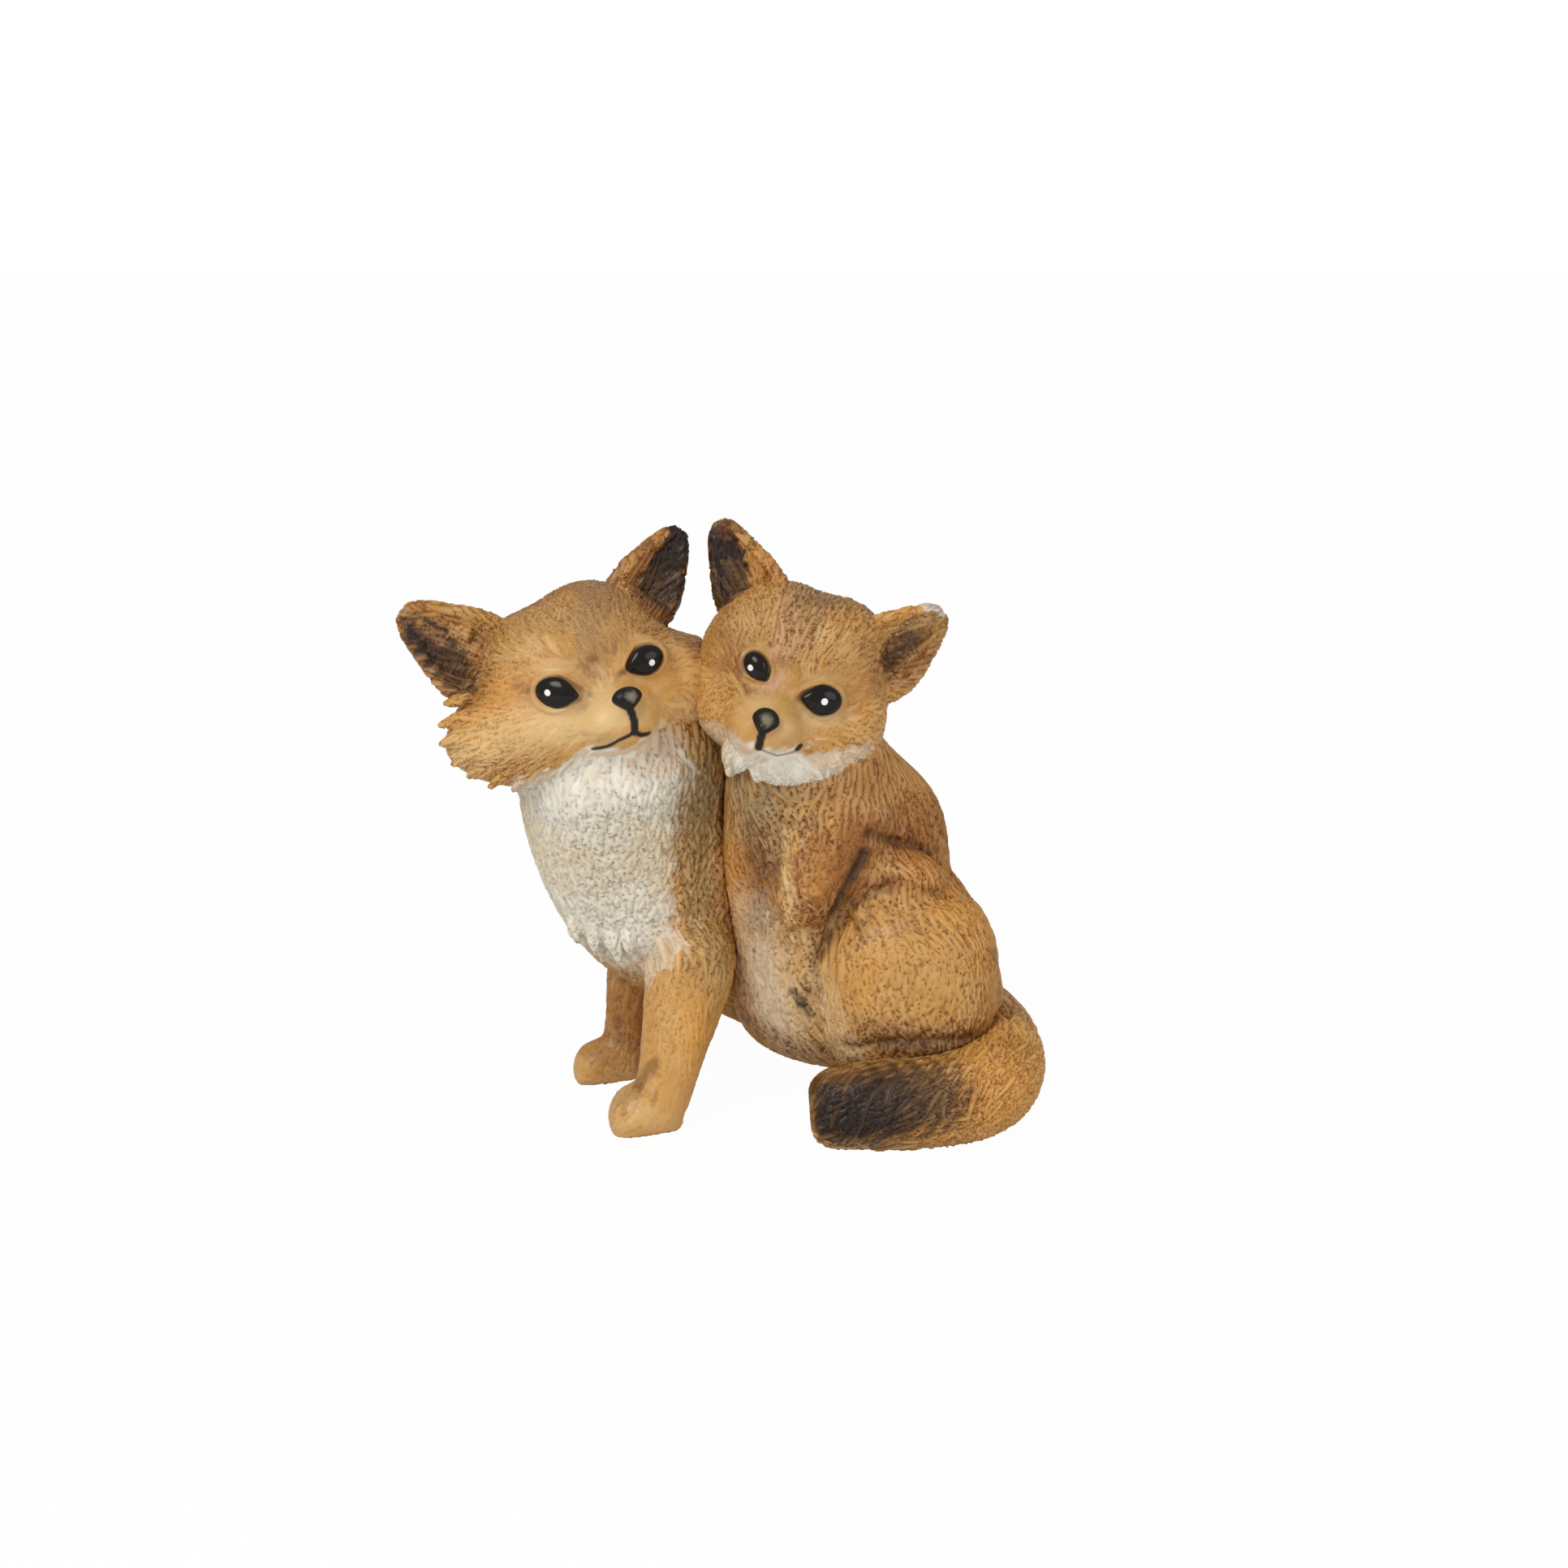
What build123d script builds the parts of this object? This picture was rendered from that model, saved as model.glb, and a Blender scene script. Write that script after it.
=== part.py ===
"""Two sitting fox cubs, cheek to cheek: a small cast ornament, modelled piece by piece.

Millimetres. The origin is on the ground under the middle of the pair, +Z is up, +X is to the
right and the cubs look towards -Y. Left and right in the cubs' names are those of that front
view, and each cub's own ears, eyes and legs have the animal's left and right. The two bodies
and the two heads meet on flat seams. Ears sit in the heads on long roots, eyes and noses are
beads in round sockets, and limbs and tails are hollowed to the bodies that they lie against.
"""

from build123d import *
import os

# Left cub, body: a slanting barrel from the rump, behind the pair, up to the neck
left_rump_x, left_rump_y = 13.5, 18.5
left_chest_run, left_chest_swing = 31.5, 24.0
left_neck_height = 65.0
left_body_width, left_body_depth = 29.0, 33.5
left_spine_shares = [
    # along the run, along the swing and up the height, then of the width and the depth
    (0.00, 0.00, 0.13, 0.50, 0.40),
    (0.18, 0.16, 0.22, 0.80, 0.66),
    (0.42, 0.40, 0.36, 0.94, 0.86),
    (0.72, 0.68, 0.51, 1.00, 1.02),
    (0.90, 0.86, 0.66, 1.00, 0.99),
    (0.95, 0.95, 0.82, 1.06, 1.00),
    (0.92, 1.00, 1.00, 0.84, 0.84),
]

# Right cub, body: upright, its belly against the left cub and its back arched
right_neck_height = 64.0
right_body_width, right_body_depth = 28.5, 43.5
right_body_x, right_body_y = 21.0, 1.0
right_body_angle = 18.0
right_level_shares = [
    # up the height, back and aside, then of the depth and the width
    (0.00, 0.26, 0.06, 0.50, 0.62),
    (0.09, 0.14, 0.04, 0.84, 0.88),
    (0.20, 0.03, 0.02, 0.99, 0.98),
    (0.33, -0.005, 0.00, 0.99, 1.00),
    (0.48, -0.08, -0.03, 0.89, 1.00),
    (0.64, -0.12, -0.10, 0.83, 0.94),
    (0.79, -0.165, -0.16, 0.75, 0.84),
    (0.91, -0.24, -0.22, 0.56, 0.73),
    (1.00, -0.26, -0.26, 0.42, 0.55),
]

# The upright seam between the bodies, and the one between the heads
body_seam_x, body_seam_y, body_seam_angle = -1.0, -14.0, -38.0
cheek_seam_x = -3.9

# Heads: their middles, the rise over the neck, how they lean in the front view and which way they look
left_head_x, left_head_y, left_head_rise = -22.3, -7.5, 4.2
left_head_lean_angle, left_head_look_angle = 18.6, 22.0
left_head_width, left_head_height, left_head_length = 46.0, 28.0, 29.0
right_head_x, right_head_y, right_head_rise = 10.5, -7.5, 4.4
right_head_lean_angle, right_head_look_angle = -23.5, -12.0
right_head_width, right_head_height, right_head_length = 32.6, 28.5, 27.0
left_outline_shares = [
    # seen from the front: crown, brow, temple, cheek, jaw, chin, and back up by the outer side
    (0.00, 0.485),
    (0.19, 0.43),
    (0.32, 0.10),
    (0.48, -0.14),
    (0.37, -0.39),
    (0.00, -0.50),
    (-0.35, -0.38),
    (-0.51, -0.07),
    (-0.37, 0.18),
    (-0.20, 0.44),
]
right_outline_shares = [
    (0.00, 0.51),
    (0.24, 0.48),
    (0.42, 0.14),
    (0.47, -0.08),
    (0.37, -0.36),
    (0.00, -0.48),
    (-0.37, -0.36),
    (-0.47, -0.04),
    (-0.45, 0.22),
    (-0.23, 0.48),
]
head_depth_shares = [
    # of the length, from the back of the skull to the face, then of the width and the height
    (-0.50, 0.34, 0.42),
    (-0.44, 0.56, 0.66),
    (-0.30, 0.78, 0.88),
    (-0.08, 0.96, 1.00),
    (0.14, 1.00, 0.98),
    (0.32, 0.82, 0.84),
    (0.44, 0.56, 0.62),
    (0.50, 0.32, 0.38),
]

# Muzzles: short and blunt, under the eyes
left_muzzle_width, left_muzzle_height, left_muzzle_reach = 15.0, 13.0, 19.0
right_muzzle_width, right_muzzle_height, right_muzzle_reach = 13.5, 12.5, 19.0
muzzle_drop_share = 0.17
muzzle_shares = [
    # of the reach, the width and the height
    (0.25, 1.25, 1.20),
    (0.60, 1.00, 1.00),
    (0.84, 0.72, 0.76),
    (0.96, 0.48, 0.54),
    (1.00, 0.24, 0.28),
]

# Eyes and noses: gloss beads in sockets
left_eye_diameter, left_eye_spacing = 7.4, 14.8
left_eye_rise, left_eye_forward = 1.4, 11.6
right_eye_diameter, right_eye_spacing = 6.8, 10.8
right_eye_rise, right_eye_forward = 2.2, 10.8
left_nose_diameter, left_nose_rise = 4.8, 2.4
right_nose_diameter, right_nose_rise = 4.4, 1.6
nose_sink = 1.4

# Ears: cupped leaves on a root that sits in the head. The outer ears are away from the other
# cub and the inner ones are next to it
ear_thickness, ear_wall, ear_root = 5.5, 1.3, 4.0
left_outer_ear_length, left_outer_ear_width, left_outer_ear_splay_angle = 14.8, 14.6, 37.0
left_outer_ear_spread, left_outer_ear_rise = 13.4, 7.8
left_inner_ear_length, left_inner_ear_width, left_inner_ear_splay_angle = 13.0, 12.0, 51.0
left_inner_ear_spread, left_inner_ear_rise = 12.5, 7.8
right_outer_ear_length, right_outer_ear_width, right_outer_ear_splay_angle = 12.7, 12.9, 27.5
right_outer_ear_spread, right_outer_ear_rise = 10.0, 8.4
right_inner_ear_length, right_inner_ear_width, right_inner_ear_splay_angle = 13.5, 11.8, 48.5
right_inner_ear_spread, right_inner_ear_rise = 10.9, 8.8
ear_shares = [
    # of the length, the width and the thickness
    (0.00, 1.00, 1.00),
    (0.34, 0.90, 0.90),
    (0.70, 0.60, 0.68),
    (0.93, 0.34, 0.46),
    (1.00, 0.18, 0.28),
]

# Left cub, forelegs: the near one stands in front of the far one, both toes to the left
near_leg_thickness, near_leg_height = 11.0, 26.0
far_leg_thickness, far_leg_height = 8.4, 28.0
wrist_height = 4.0
# How far along the chest's run and swing each leg's top and wrist are
near_leg_shares, near_wrist_shares = (0.60, 1.19), (0.765, 1.59)
far_leg_shares, far_wrist_shares = (0.88, 0.54), (1.005, 0.73)
leg_shares = [
    # from the shoulder to the wrist, and of the thickness
    (-0.20, 0.66),
    (0.00, 1.16),
    (0.40, 1.08),
    (0.80, 0.84),
    (1.00, 0.76),
]
near_paw_length, near_paw_width, near_paw_height = 12.5, 8.8, 8.6
far_paw_length, far_paw_width, far_paw_height = 12.4, 7.6, 7.6
paw_angle = 198.0
paw_shares = [
    # from the wrist towards the toes, then of the width and the height
    (-0.25, 0.40, 0.46),
    (-0.14, 0.82, 0.84),
    (0.18, 1.00, 1.00),
    (0.50, 0.92, 0.86),
    (0.64, 0.52, 0.50),
]
toe_count, toe_groove, toe_groove_depth = 4, 0.7, 1.6
sole_share = 0.44

# Thighs and the hip: rounded outlines that swell outwards. Places are along the depth and across
# the width of the right body, from its middle, and from the rump of the left one
right_thigh_shares, right_thigh_z = (0.16, -0.37), 21.5
right_thigh_length, right_thigh_height, right_thigh_width = 28.5, 33.0, 12.5
right_hip_shares, right_hip_z = (0.18, -0.28), 26.5
right_hip_length, right_hip_height, right_hip_width = 28.5, 39.0, 10.5
far_thigh_shares, far_thigh_z = (0.195, 0.365), 14.2
far_thigh_length, far_thigh_height, far_thigh_width = 25.0, 29.0, 9.0
left_thigh_back, left_thigh_share, left_thigh_z = 2.5, 0.155, 12.0
left_thigh_length, left_thigh_height, left_thigh_width = 23.0, 25.0, 6.0
thigh_outline_shares = [
    (-0.50, 0.10),
    (-0.34, 0.39),
    (0.04, 0.50),
    (0.39, 0.36),
    (0.50, -0.04),
    (0.34, -0.44),
    (-0.06, -0.50),
    (-0.42, -0.34),
]
hip_outline_shares = [
    (-0.50, 0.10),
    (-0.45, 0.38),
    (-0.27, 0.50),
    (0.02, 0.42),
    (0.27, 0.24),
    (0.43, 0.00),
    (0.50, -0.28),
    (0.30, -0.48),
    (-0.10, -0.50),
    (-0.42, -0.30),
]
thigh_swell_shares = [
    # outwards across the width, and of the outline
    (-0.50, 0.86),
    (0.10, 1.00),
    (0.60, 0.88),
    (0.90, 0.62),
    (1.00, 0.30),
]
hind_paw_shares, hind_paw_angle = (0.185, -0.56), 184.0
hind_paw_length, hind_paw_width, hind_paw_height = 15.0, 8.0, 7.0
hind_paw_form_shares = [
    (0.00, 0.60, 0.80),
    (0.45, 1.00, 1.00),
    (0.86, 0.88, 0.72),
    (1.00, 0.46, 0.40),
]

# Right cub, left foreleg: folded along the chest, its ends placed like the thighs
arm_shoulder_shares, arm_shoulder_z = (-0.06, -0.47), 54.5
arm_wrist_shares, arm_wrist_z = (-0.24, -0.61), 32.5
arm_width, arm_thickness = 12.5, 11.0
arm_shares = [
    # from the shoulder to the wrist, then of the width and the thickness
    (0.00, 0.80, 0.54),
    (0.18, 1.40, 1.00),
    (0.56, 1.10, 1.00),
    (0.88, 0.70, 0.80),
    (1.00, 0.40, 0.46),
]

# Right cub, tail: out of the rump, round the right side and along the front on the ground
tail_thickness, tail_height = 12.0, 14.4
tail_wrap, tail_tuck = 4.4, 3.8
tail_root_rise, tail_tip_overhang = 4.0, 0.6
right_tail_shares = [
    # from the tip to the right, from the root to the front and up, then of thickness and height
    (0.78, 0.00, 0.66, 0.72, 0.84),
    (0.96, 0.28, 0.68, 0.90, 0.98),
    (1.00, 0.57, 0.61, 0.98, 1.02),
    (0.89, 0.86, 0.52, 1.02, 1.04),
    (0.62, 0.99, 0.44, 1.04, 0.98),
    (0.30, 1.00, 0.40, 1.04, 0.96),
    (0.06, 1.00, 0.36, 0.88, 0.80),
    (-0.01, 1.00, 0.35, 0.50, 0.42),
]

# Left cub, tail: out of the rump and along the ground behind the pair
left_tail_thickness, left_tail_height = 8.4, 9.6
left_tail_run, left_tail_bow = 29.0, 9.6
left_tail_root_aside, left_tail_root_ahead = 2.5, 2.0
left_tail_shares = [
    # from the root to the tip, out along the bow and up, then of thickness and height
    (0.00, 0.45, 0.62, 0.80, 0.84),
    (0.20, 0.90, 0.52, 0.98, 1.00),
    (0.50, 1.00, 0.46, 1.04, 1.04),
    (0.80, 0.62, 0.42, 0.98, 0.98),
    (0.96, 0.16, 0.40, 0.70, 0.70),
    (1.00, 0.00, 0.40, 0.36, 0.36),
]

up = Vector(0, 0, 1)
left_side = Plane((cheek_seam_x, 0, 0), z_dir=(-1, 0, 0))
body_seam = Plane((body_seam_x, body_seam_y, 0), z_dir=Vector(1, 0, 0).rotate(Axis.Z, body_seam_angle))


def rings(centres, sizes, across=None):
    """Ellipses along a run of centres, each square to it, their width level or along one direction"""
    outlines = []
    for before, here, after, size in zip(centres[:1] + centres, centres, centres[1:] + centres[-1:], sizes):
        along = (after - before).normalized()
        level = across - along * across.dot(along) if across else along.cross(up)
        with BuildSketch(Plane(here, x_dir=level, z_dir=along)) as outline:
            Ellipse(size[0] / 2, size[1] / 2)
        outlines.append(outline.sketch)
    return outlines


def head_place(middle, lean, look):
    """Where a head is: its own -Y is the way the face looks"""
    return Location(middle) * Location((0, 0, 0), (0, -lean, 0)) * Location((0, 0, 0), (0, 0, look))


def make_bead(place, diameter):
    """A half bead with its flat back in the socket"""
    with BuildPart() as bead:
        with Locations(place):
            Sphere(diameter / 2)
        split(bisect_by=Plane(place * Plane.XZ.location), keep=Keep.TOP)
    return bead.part


def make_ear(place, side, spread, rise, splay, length, width):
    """A cupped leaf: the outer skin less a smaller one that is nearer the front"""
    seat = place * Location((side * spread, 0, rise)) * Location((0, 0, 0), (0, side * splay, 0))
    with BuildPart() as ear:
        for share, wide, thick in [(-ear_root / length, 0.80, 0.90)] + ear_shares:
            with BuildSketch(seat * Location((0, 0, share * length))):
                Ellipse(wide * width / 2, thick * ear_thickness / 2)
        loft()
        for share, wide, thick in ear_shares[:-1]:
            with BuildSketch(seat * Location((0, -2 * ear_wall, share * length + ear_wall))):
                Ellipse(wide * width / 2 - ear_wall, thick * ear_thickness / 2)
        loft(mode=Mode.SUBTRACT)
    return ear.part


def make_head(place, outline, width, height, length, muzzle_width, muzzle_height, muzzle_reach):
    """A skull with its cheek ruff, and the muzzle on it"""
    with BuildPart() as head:
        for forward, wide, tall in head_depth_shares:
            with BuildSketch(place * Plane.XZ.offset(forward * length).location):
                with BuildLine():
                    points = [(x * width * wide, z * height * tall) for x, z in outline]
                    Spline(*points, periodic=True)
                make_face()
        loft()
        for forward, wide, tall in muzzle_shares:
            middle = Location((0, -forward * muzzle_reach, -muzzle_drop_share * height))
            with BuildSketch(place * middle * Plane.XZ.location):
                Ellipse(wide * muzzle_width / 2, tall * muzzle_height / 2)
        loft()
    return head.part


def make_paw(place, length, width, height, shares):
    """A rounded paw along its place's X, cut flat by the ground"""
    with BuildPart() as paw:
        for forward, wide, tall in shares:
            middle = Location((forward * length, 0, tall * height * sole_share))
            with BuildSketch(place * middle * Plane.YZ.location):
                Ellipse(wide * width / 2, tall * height / 2)
        loft()
        split(bisect_by=Plane.XY, keep=Keep.TOP)
    return paw.part


def make_foreleg(shoulder, wrist, thickness, length, width, height):
    """A tapered leg on its paw, with grooves between the toes"""
    centres = [shoulder + (wrist - shoulder) * share for share, thick in leg_shares]
    sizes = [(thick * thickness, thick * thickness) for share, thick in leg_shares]
    sole = Location((wrist.X, wrist.Y, 0), (0, 0, paw_angle))
    with BuildPart() as leg:
        loft(rings(centres, sizes, Vector(1, 0, 0)))
        add(make_paw(sole, length, width, height, paw_shares))
        split(bisect_by=Plane.XY, keep=Keep.TOP)
        for toe in range(1, toe_count):
            aside = (toe / toe_count - 1 / 2) * width
            with Locations(sole * Location((paw_shares[-1][0] * length, aside, 0))):
                Box(2 * toe_groove_depth, toe_groove, 2 * height, mode=Mode.SUBTRACT)
    return leg.part


def make_thigh(middle, outline, length, height, width, side):
    """A thigh or hip that swells from its middle towards one side"""
    with BuildPart() as thigh:
        for outward, size in thigh_swell_shares:
            face = middle + Vector(0, side * outward * width, 0)
            with BuildSketch(Plane(face, x_dir=(1, 0, 0), z_dir=(0, -1, 0))):
                with BuildLine():
                    points = [(u * length * size, v * height * size) for u, v in outline]
                    Spline(*points, periodic=True)
                make_face()
        loft()
    return thigh.part


def on_chest(shares, height):
    """A place along the left cub's run and swing, from its rump"""
    run, swing = shares
    return Vector(left_rump_x - run * left_chest_run, left_rump_y - swing * left_chest_swing, height)


def on_right_body(shares, height):
    """A place along the right body's depth and across its width, from its middle"""
    deep, wide = shares
    return Vector(right_body_x + deep * right_body_depth, right_body_y + wide * right_body_width, height)


left_head = Vector(left_head_x, left_head_y, left_neck_height + left_head_rise)
right_head = Vector(right_head_x, right_head_y, right_neck_height + right_head_rise)
left_place = head_place(left_head, left_head_lean_angle, left_head_look_angle)
right_place = head_place(right_head, right_head_lean_angle, right_head_look_angle)

with BuildPart() as left_cub_right_eye:
    spot = Location((-left_eye_spacing / 2, -left_eye_forward, left_eye_rise))
    add(make_bead(left_place * spot, left_eye_diameter))

with BuildPart() as left_cub_left_eye:
    spot = Location((left_eye_spacing / 2, -left_eye_forward, left_eye_rise))
    add(make_bead(left_place * spot, left_eye_diameter))

with BuildPart() as right_cub_right_eye:
    spot = Location((-right_eye_spacing / 2, -right_eye_forward, right_eye_rise))
    add(make_bead(right_place * spot, right_eye_diameter))

with BuildPart() as right_cub_left_eye:
    spot = Location((right_eye_spacing / 2, -right_eye_forward, right_eye_rise))
    add(make_bead(right_place * spot, right_eye_diameter))

with BuildPart() as left_cub_nose:
    back = nose_sink - left_muzzle_reach
    spot = Location((0, back, left_nose_rise - muzzle_drop_share * left_head_height))
    add(make_bead(left_place * spot, left_nose_diameter))

with BuildPart() as right_cub_nose:
    back = nose_sink - right_muzzle_reach
    spot = Location((0, back, right_nose_rise - muzzle_drop_share * right_head_height))
    add(make_bead(right_place * spot, right_nose_diameter))

with BuildPart() as left_cub_head:
    add(make_head(
        left_place, left_outline_shares, left_head_width, left_head_height, left_head_length,
        left_muzzle_width, left_muzzle_height, left_muzzle_reach,
    ))
    split(bisect_by=left_side, keep=Keep.TOP)
    for bead in (left_cub_right_eye, left_cub_left_eye, left_cub_nose):
        add(bead, mode=Mode.SUBTRACT)

with BuildPart() as right_cub_head:
    add(make_head(
        right_place, right_outline_shares, right_head_width, right_head_height, right_head_length,
        right_muzzle_width, right_muzzle_height, right_muzzle_reach,
    ))
    split(bisect_by=left_side, keep=Keep.BOTTOM)
    for bead in (right_cub_right_eye, right_cub_left_eye, right_cub_nose):
        add(bead, mode=Mode.SUBTRACT)

with BuildPart() as left_cub_right_ear:
    add(make_ear(
        left_place, -1, left_outer_ear_spread, left_outer_ear_rise, left_outer_ear_splay_angle,
        left_outer_ear_length, left_outer_ear_width,
    ))
    add(left_cub_head, mode=Mode.SUBTRACT)

with BuildPart() as left_cub_left_ear:
    add(make_ear(
        left_place, 1, left_inner_ear_spread, left_inner_ear_rise, left_inner_ear_splay_angle,
        left_inner_ear_length, left_inner_ear_width,
    ))
    add(left_cub_head, mode=Mode.SUBTRACT)

with BuildPart() as right_cub_right_ear:
    add(make_ear(
        right_place, -1, right_inner_ear_spread, right_inner_ear_rise, right_inner_ear_splay_angle,
        right_inner_ear_length, right_inner_ear_width,
    ))
    add(right_cub_head, mode=Mode.SUBTRACT)

with BuildPart() as right_cub_left_ear:
    add(make_ear(
        right_place, 1, right_outer_ear_spread, right_outer_ear_rise, right_outer_ear_splay_angle,
        right_outer_ear_length, right_outer_ear_width,
    ))
    add(right_cub_head, mode=Mode.SUBTRACT)

with BuildPart() as left_cub_body:
    spine = [
        on_chest((run, swing), rise * left_neck_height) for run, swing, rise, wide, deep in left_spine_shares
    ]
    sizes = [(wide * left_body_width, deep * left_body_depth) for *place, wide, deep in left_spine_shares]
    loft(rings(spine, sizes, Vector(-left_chest_run, -left_chest_swing, 0).cross(up)))
    split(bisect_by=Plane.XY, keep=Keep.TOP)
    split(bisect_by=body_seam, keep=Keep.BOTTOM)
    add(left_cub_head, mode=Mode.SUBTRACT)
    add(right_cub_head, mode=Mode.SUBTRACT)

with BuildPart() as right_cub_body:
    for rise, back, aside, deep, wide in right_level_shares:
        turned = Location((right_body_x, right_body_y, rise * right_neck_height), (0, 0, right_body_angle))
        with BuildSketch(turned * Location((back * right_body_depth, aside * right_body_width, 0))):
            Ellipse(deep * right_body_depth / 2, wide * right_body_width / 2)
    loft()
    add(left_cub_body, mode=Mode.SUBTRACT)
    add(right_cub_head, mode=Mode.SUBTRACT)
    add(left_cub_head, mode=Mode.SUBTRACT)

with BuildPart() as left_cub_left_foreleg:
    shoulder = on_chest(near_leg_shares, near_leg_height)
    wrist = on_chest(near_wrist_shares, wrist_height)
    add(make_foreleg(
        shoulder, wrist, near_leg_thickness, near_paw_length, near_paw_width, near_paw_height,
    ))
    add(left_cub_body, mode=Mode.SUBTRACT)
    add(right_cub_body, mode=Mode.SUBTRACT)

with BuildPart() as left_cub_right_foreleg:
    shoulder = on_chest(far_leg_shares, far_leg_height)
    wrist = on_chest(far_wrist_shares, wrist_height)
    add(make_foreleg(shoulder, wrist, far_leg_thickness, far_paw_length, far_paw_width, far_paw_height))
    add(left_cub_body, mode=Mode.SUBTRACT)

with BuildPart() as right_cub_left_foreleg:
    shoulder = on_right_body(arm_shoulder_shares, arm_shoulder_z)
    wrist = on_right_body(arm_wrist_shares, arm_wrist_z)
    centres = [shoulder + (wrist - shoulder) * share for share, wide, thick in arm_shares]
    sizes = [(wide * arm_width, thick * arm_thickness) for share, wide, thick in arm_shares]
    loft(rings(centres, sizes, Vector(1, 0, 0)))
    add(right_cub_body, mode=Mode.SUBTRACT)
    add(right_cub_head, mode=Mode.SUBTRACT)

right_thigh = on_right_body(right_thigh_shares, right_thigh_z)
with BuildPart() as right_cub_tail:
    root_y = right_body_y + tail_root_rise
    tip_x = right_thigh.X - right_thigh_length / 2 - tail_tip_overhang
    right_x = right_thigh.X + right_thigh_length / 2 + tail_thickness / 2 - tail_wrap
    front_y = right_thigh.Y - right_thigh_width - tail_thickness / 2 + tail_tuck
    centres = [
        Vector(tip_x + out * (right_x - tip_x), root_y + front * (front_y - root_y), rise * tail_height)
        for out, front, rise, thick, tall in right_tail_shares
    ]
    sizes = [(thick * tail_thickness, tall * tail_height) for *place, thick, tall in right_tail_shares]
    loft(rings(centres, sizes))
    split(bisect_by=Plane.XY, keep=Keep.TOP)
    add(right_cub_body, mode=Mode.SUBTRACT)

with BuildPart() as right_cub_haunch:
    add(make_thigh(
        right_thigh, thigh_outline_shares, right_thigh_length, right_thigh_height, right_thigh_width, -1,
    ))
    hip = on_right_body(right_hip_shares, right_hip_z)
    add(make_thigh(hip, hip_outline_shares, right_hip_length, right_hip_height, right_hip_width, -1))
    add(right_cub_body, mode=Mode.SUBTRACT)
    add(right_cub_left_foreleg, mode=Mode.SUBTRACT)
    add(right_cub_tail, mode=Mode.SUBTRACT)

with BuildPart() as right_cub_hind_paw:
    sole = Location(on_right_body(hind_paw_shares, 0), (0, 0, hind_paw_angle))
    add(make_paw(sole, hind_paw_length, hind_paw_width, hind_paw_height, hind_paw_form_shares))
    for neighbour in (right_cub_body, right_cub_haunch, right_cub_tail):
        add(neighbour, mode=Mode.SUBTRACT)

with BuildPart() as right_cub_far_haunch:
    thigh = on_right_body(far_thigh_shares, far_thigh_z)
    add(make_thigh(thigh, thigh_outline_shares, far_thigh_length, far_thigh_height, far_thigh_width, 1))
    split(bisect_by=Plane.XY, keep=Keep.TOP)
    for neighbour in (left_cub_body, right_cub_body, right_cub_tail):
        add(neighbour, mode=Mode.SUBTRACT)

with BuildPart() as left_cub_haunch:
    side = left_rump_y + left_thigh_share * left_body_width
    thigh = Vector(left_rump_x - left_thigh_back, side, left_thigh_z)
    add(make_thigh(thigh, thigh_outline_shares, left_thigh_length, left_thigh_height, left_thigh_width, 1))
    split(bisect_by=Plane.XY, keep=Keep.TOP)
    for neighbour in (left_cub_body, right_cub_body, right_cub_far_haunch):
        add(neighbour, mode=Mode.SUBTRACT)

with BuildPart() as left_cub_tail:
    root = Vector(left_rump_x + left_tail_root_aside, left_rump_y - left_tail_root_ahead, 0)
    centres = [
        root + Vector(out * left_tail_run, back * left_tail_bow, rise * left_tail_height)
        for out, back, rise, thick, tall in left_tail_shares
    ]
    sizes = [(thick * left_tail_thickness, tall * left_tail_height) for *at, thick, tall in left_tail_shares]
    loft(rings(centres, sizes))
    split(bisect_by=Plane.XY, keep=Keep.TOP)
    for neighbour in (left_cub_body, left_cub_haunch, right_cub_body, right_cub_far_haunch):
        add(neighbour, mode=Mode.SUBTRACT)

pieces = {
    "left_cub_body": left_cub_body,
    "left_cub_head": left_cub_head,
    "left_cub_right_ear": left_cub_right_ear,
    "left_cub_left_ear": left_cub_left_ear,
    "left_cub_right_eye": left_cub_right_eye,
    "left_cub_left_eye": left_cub_left_eye,
    "left_cub_nose": left_cub_nose,
    "left_cub_left_foreleg": left_cub_left_foreleg,
    "left_cub_right_foreleg": left_cub_right_foreleg,
    "left_cub_haunch": left_cub_haunch,
    "left_cub_tail": left_cub_tail,
    "right_cub_body": right_cub_body,
    "right_cub_head": right_cub_head,
    "right_cub_right_ear": right_cub_right_ear,
    "right_cub_left_ear": right_cub_left_ear,
    "right_cub_right_eye": right_cub_right_eye,
    "right_cub_left_eye": right_cub_left_eye,
    "right_cub_nose": right_cub_nose,
    "right_cub_left_foreleg": right_cub_left_foreleg,
    "right_cub_haunch": right_cub_haunch,
    "right_cub_hind_paw": right_cub_hind_paw,
    "right_cub_far_haunch": right_cub_far_haunch,
    "right_cub_tail": right_cub_tail,
}

os.makedirs("parts", exist_ok=True)
for name, piece in pieces.items():
    piece.part.label = name
    export_step(piece.part, f"parts/{name}.step")
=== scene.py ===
"""A pair of sitting fox cubs, cast in resin and painted: the sculpted and painted skins over their solids.

Tables are in millimetres, in the frame of the solids: +X to the right, -Y the way the cubs look and
+Z up. Left and right in the cubs' names are those of the front view. Each skin starts from copies of
the solids, melted into one closed surface. Tufts of fur are pressed along a comb of guides, and the
paint is a base coat with airbrushed strokes over it.
"""

import math
from contextlib import contextmanager
from typing import NamedTuple

import bmesh
import bpy
import numpy as np
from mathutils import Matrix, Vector
from mathutils.bvhtree import BVHTree
from mathutils.kdtree import KDTree


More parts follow.
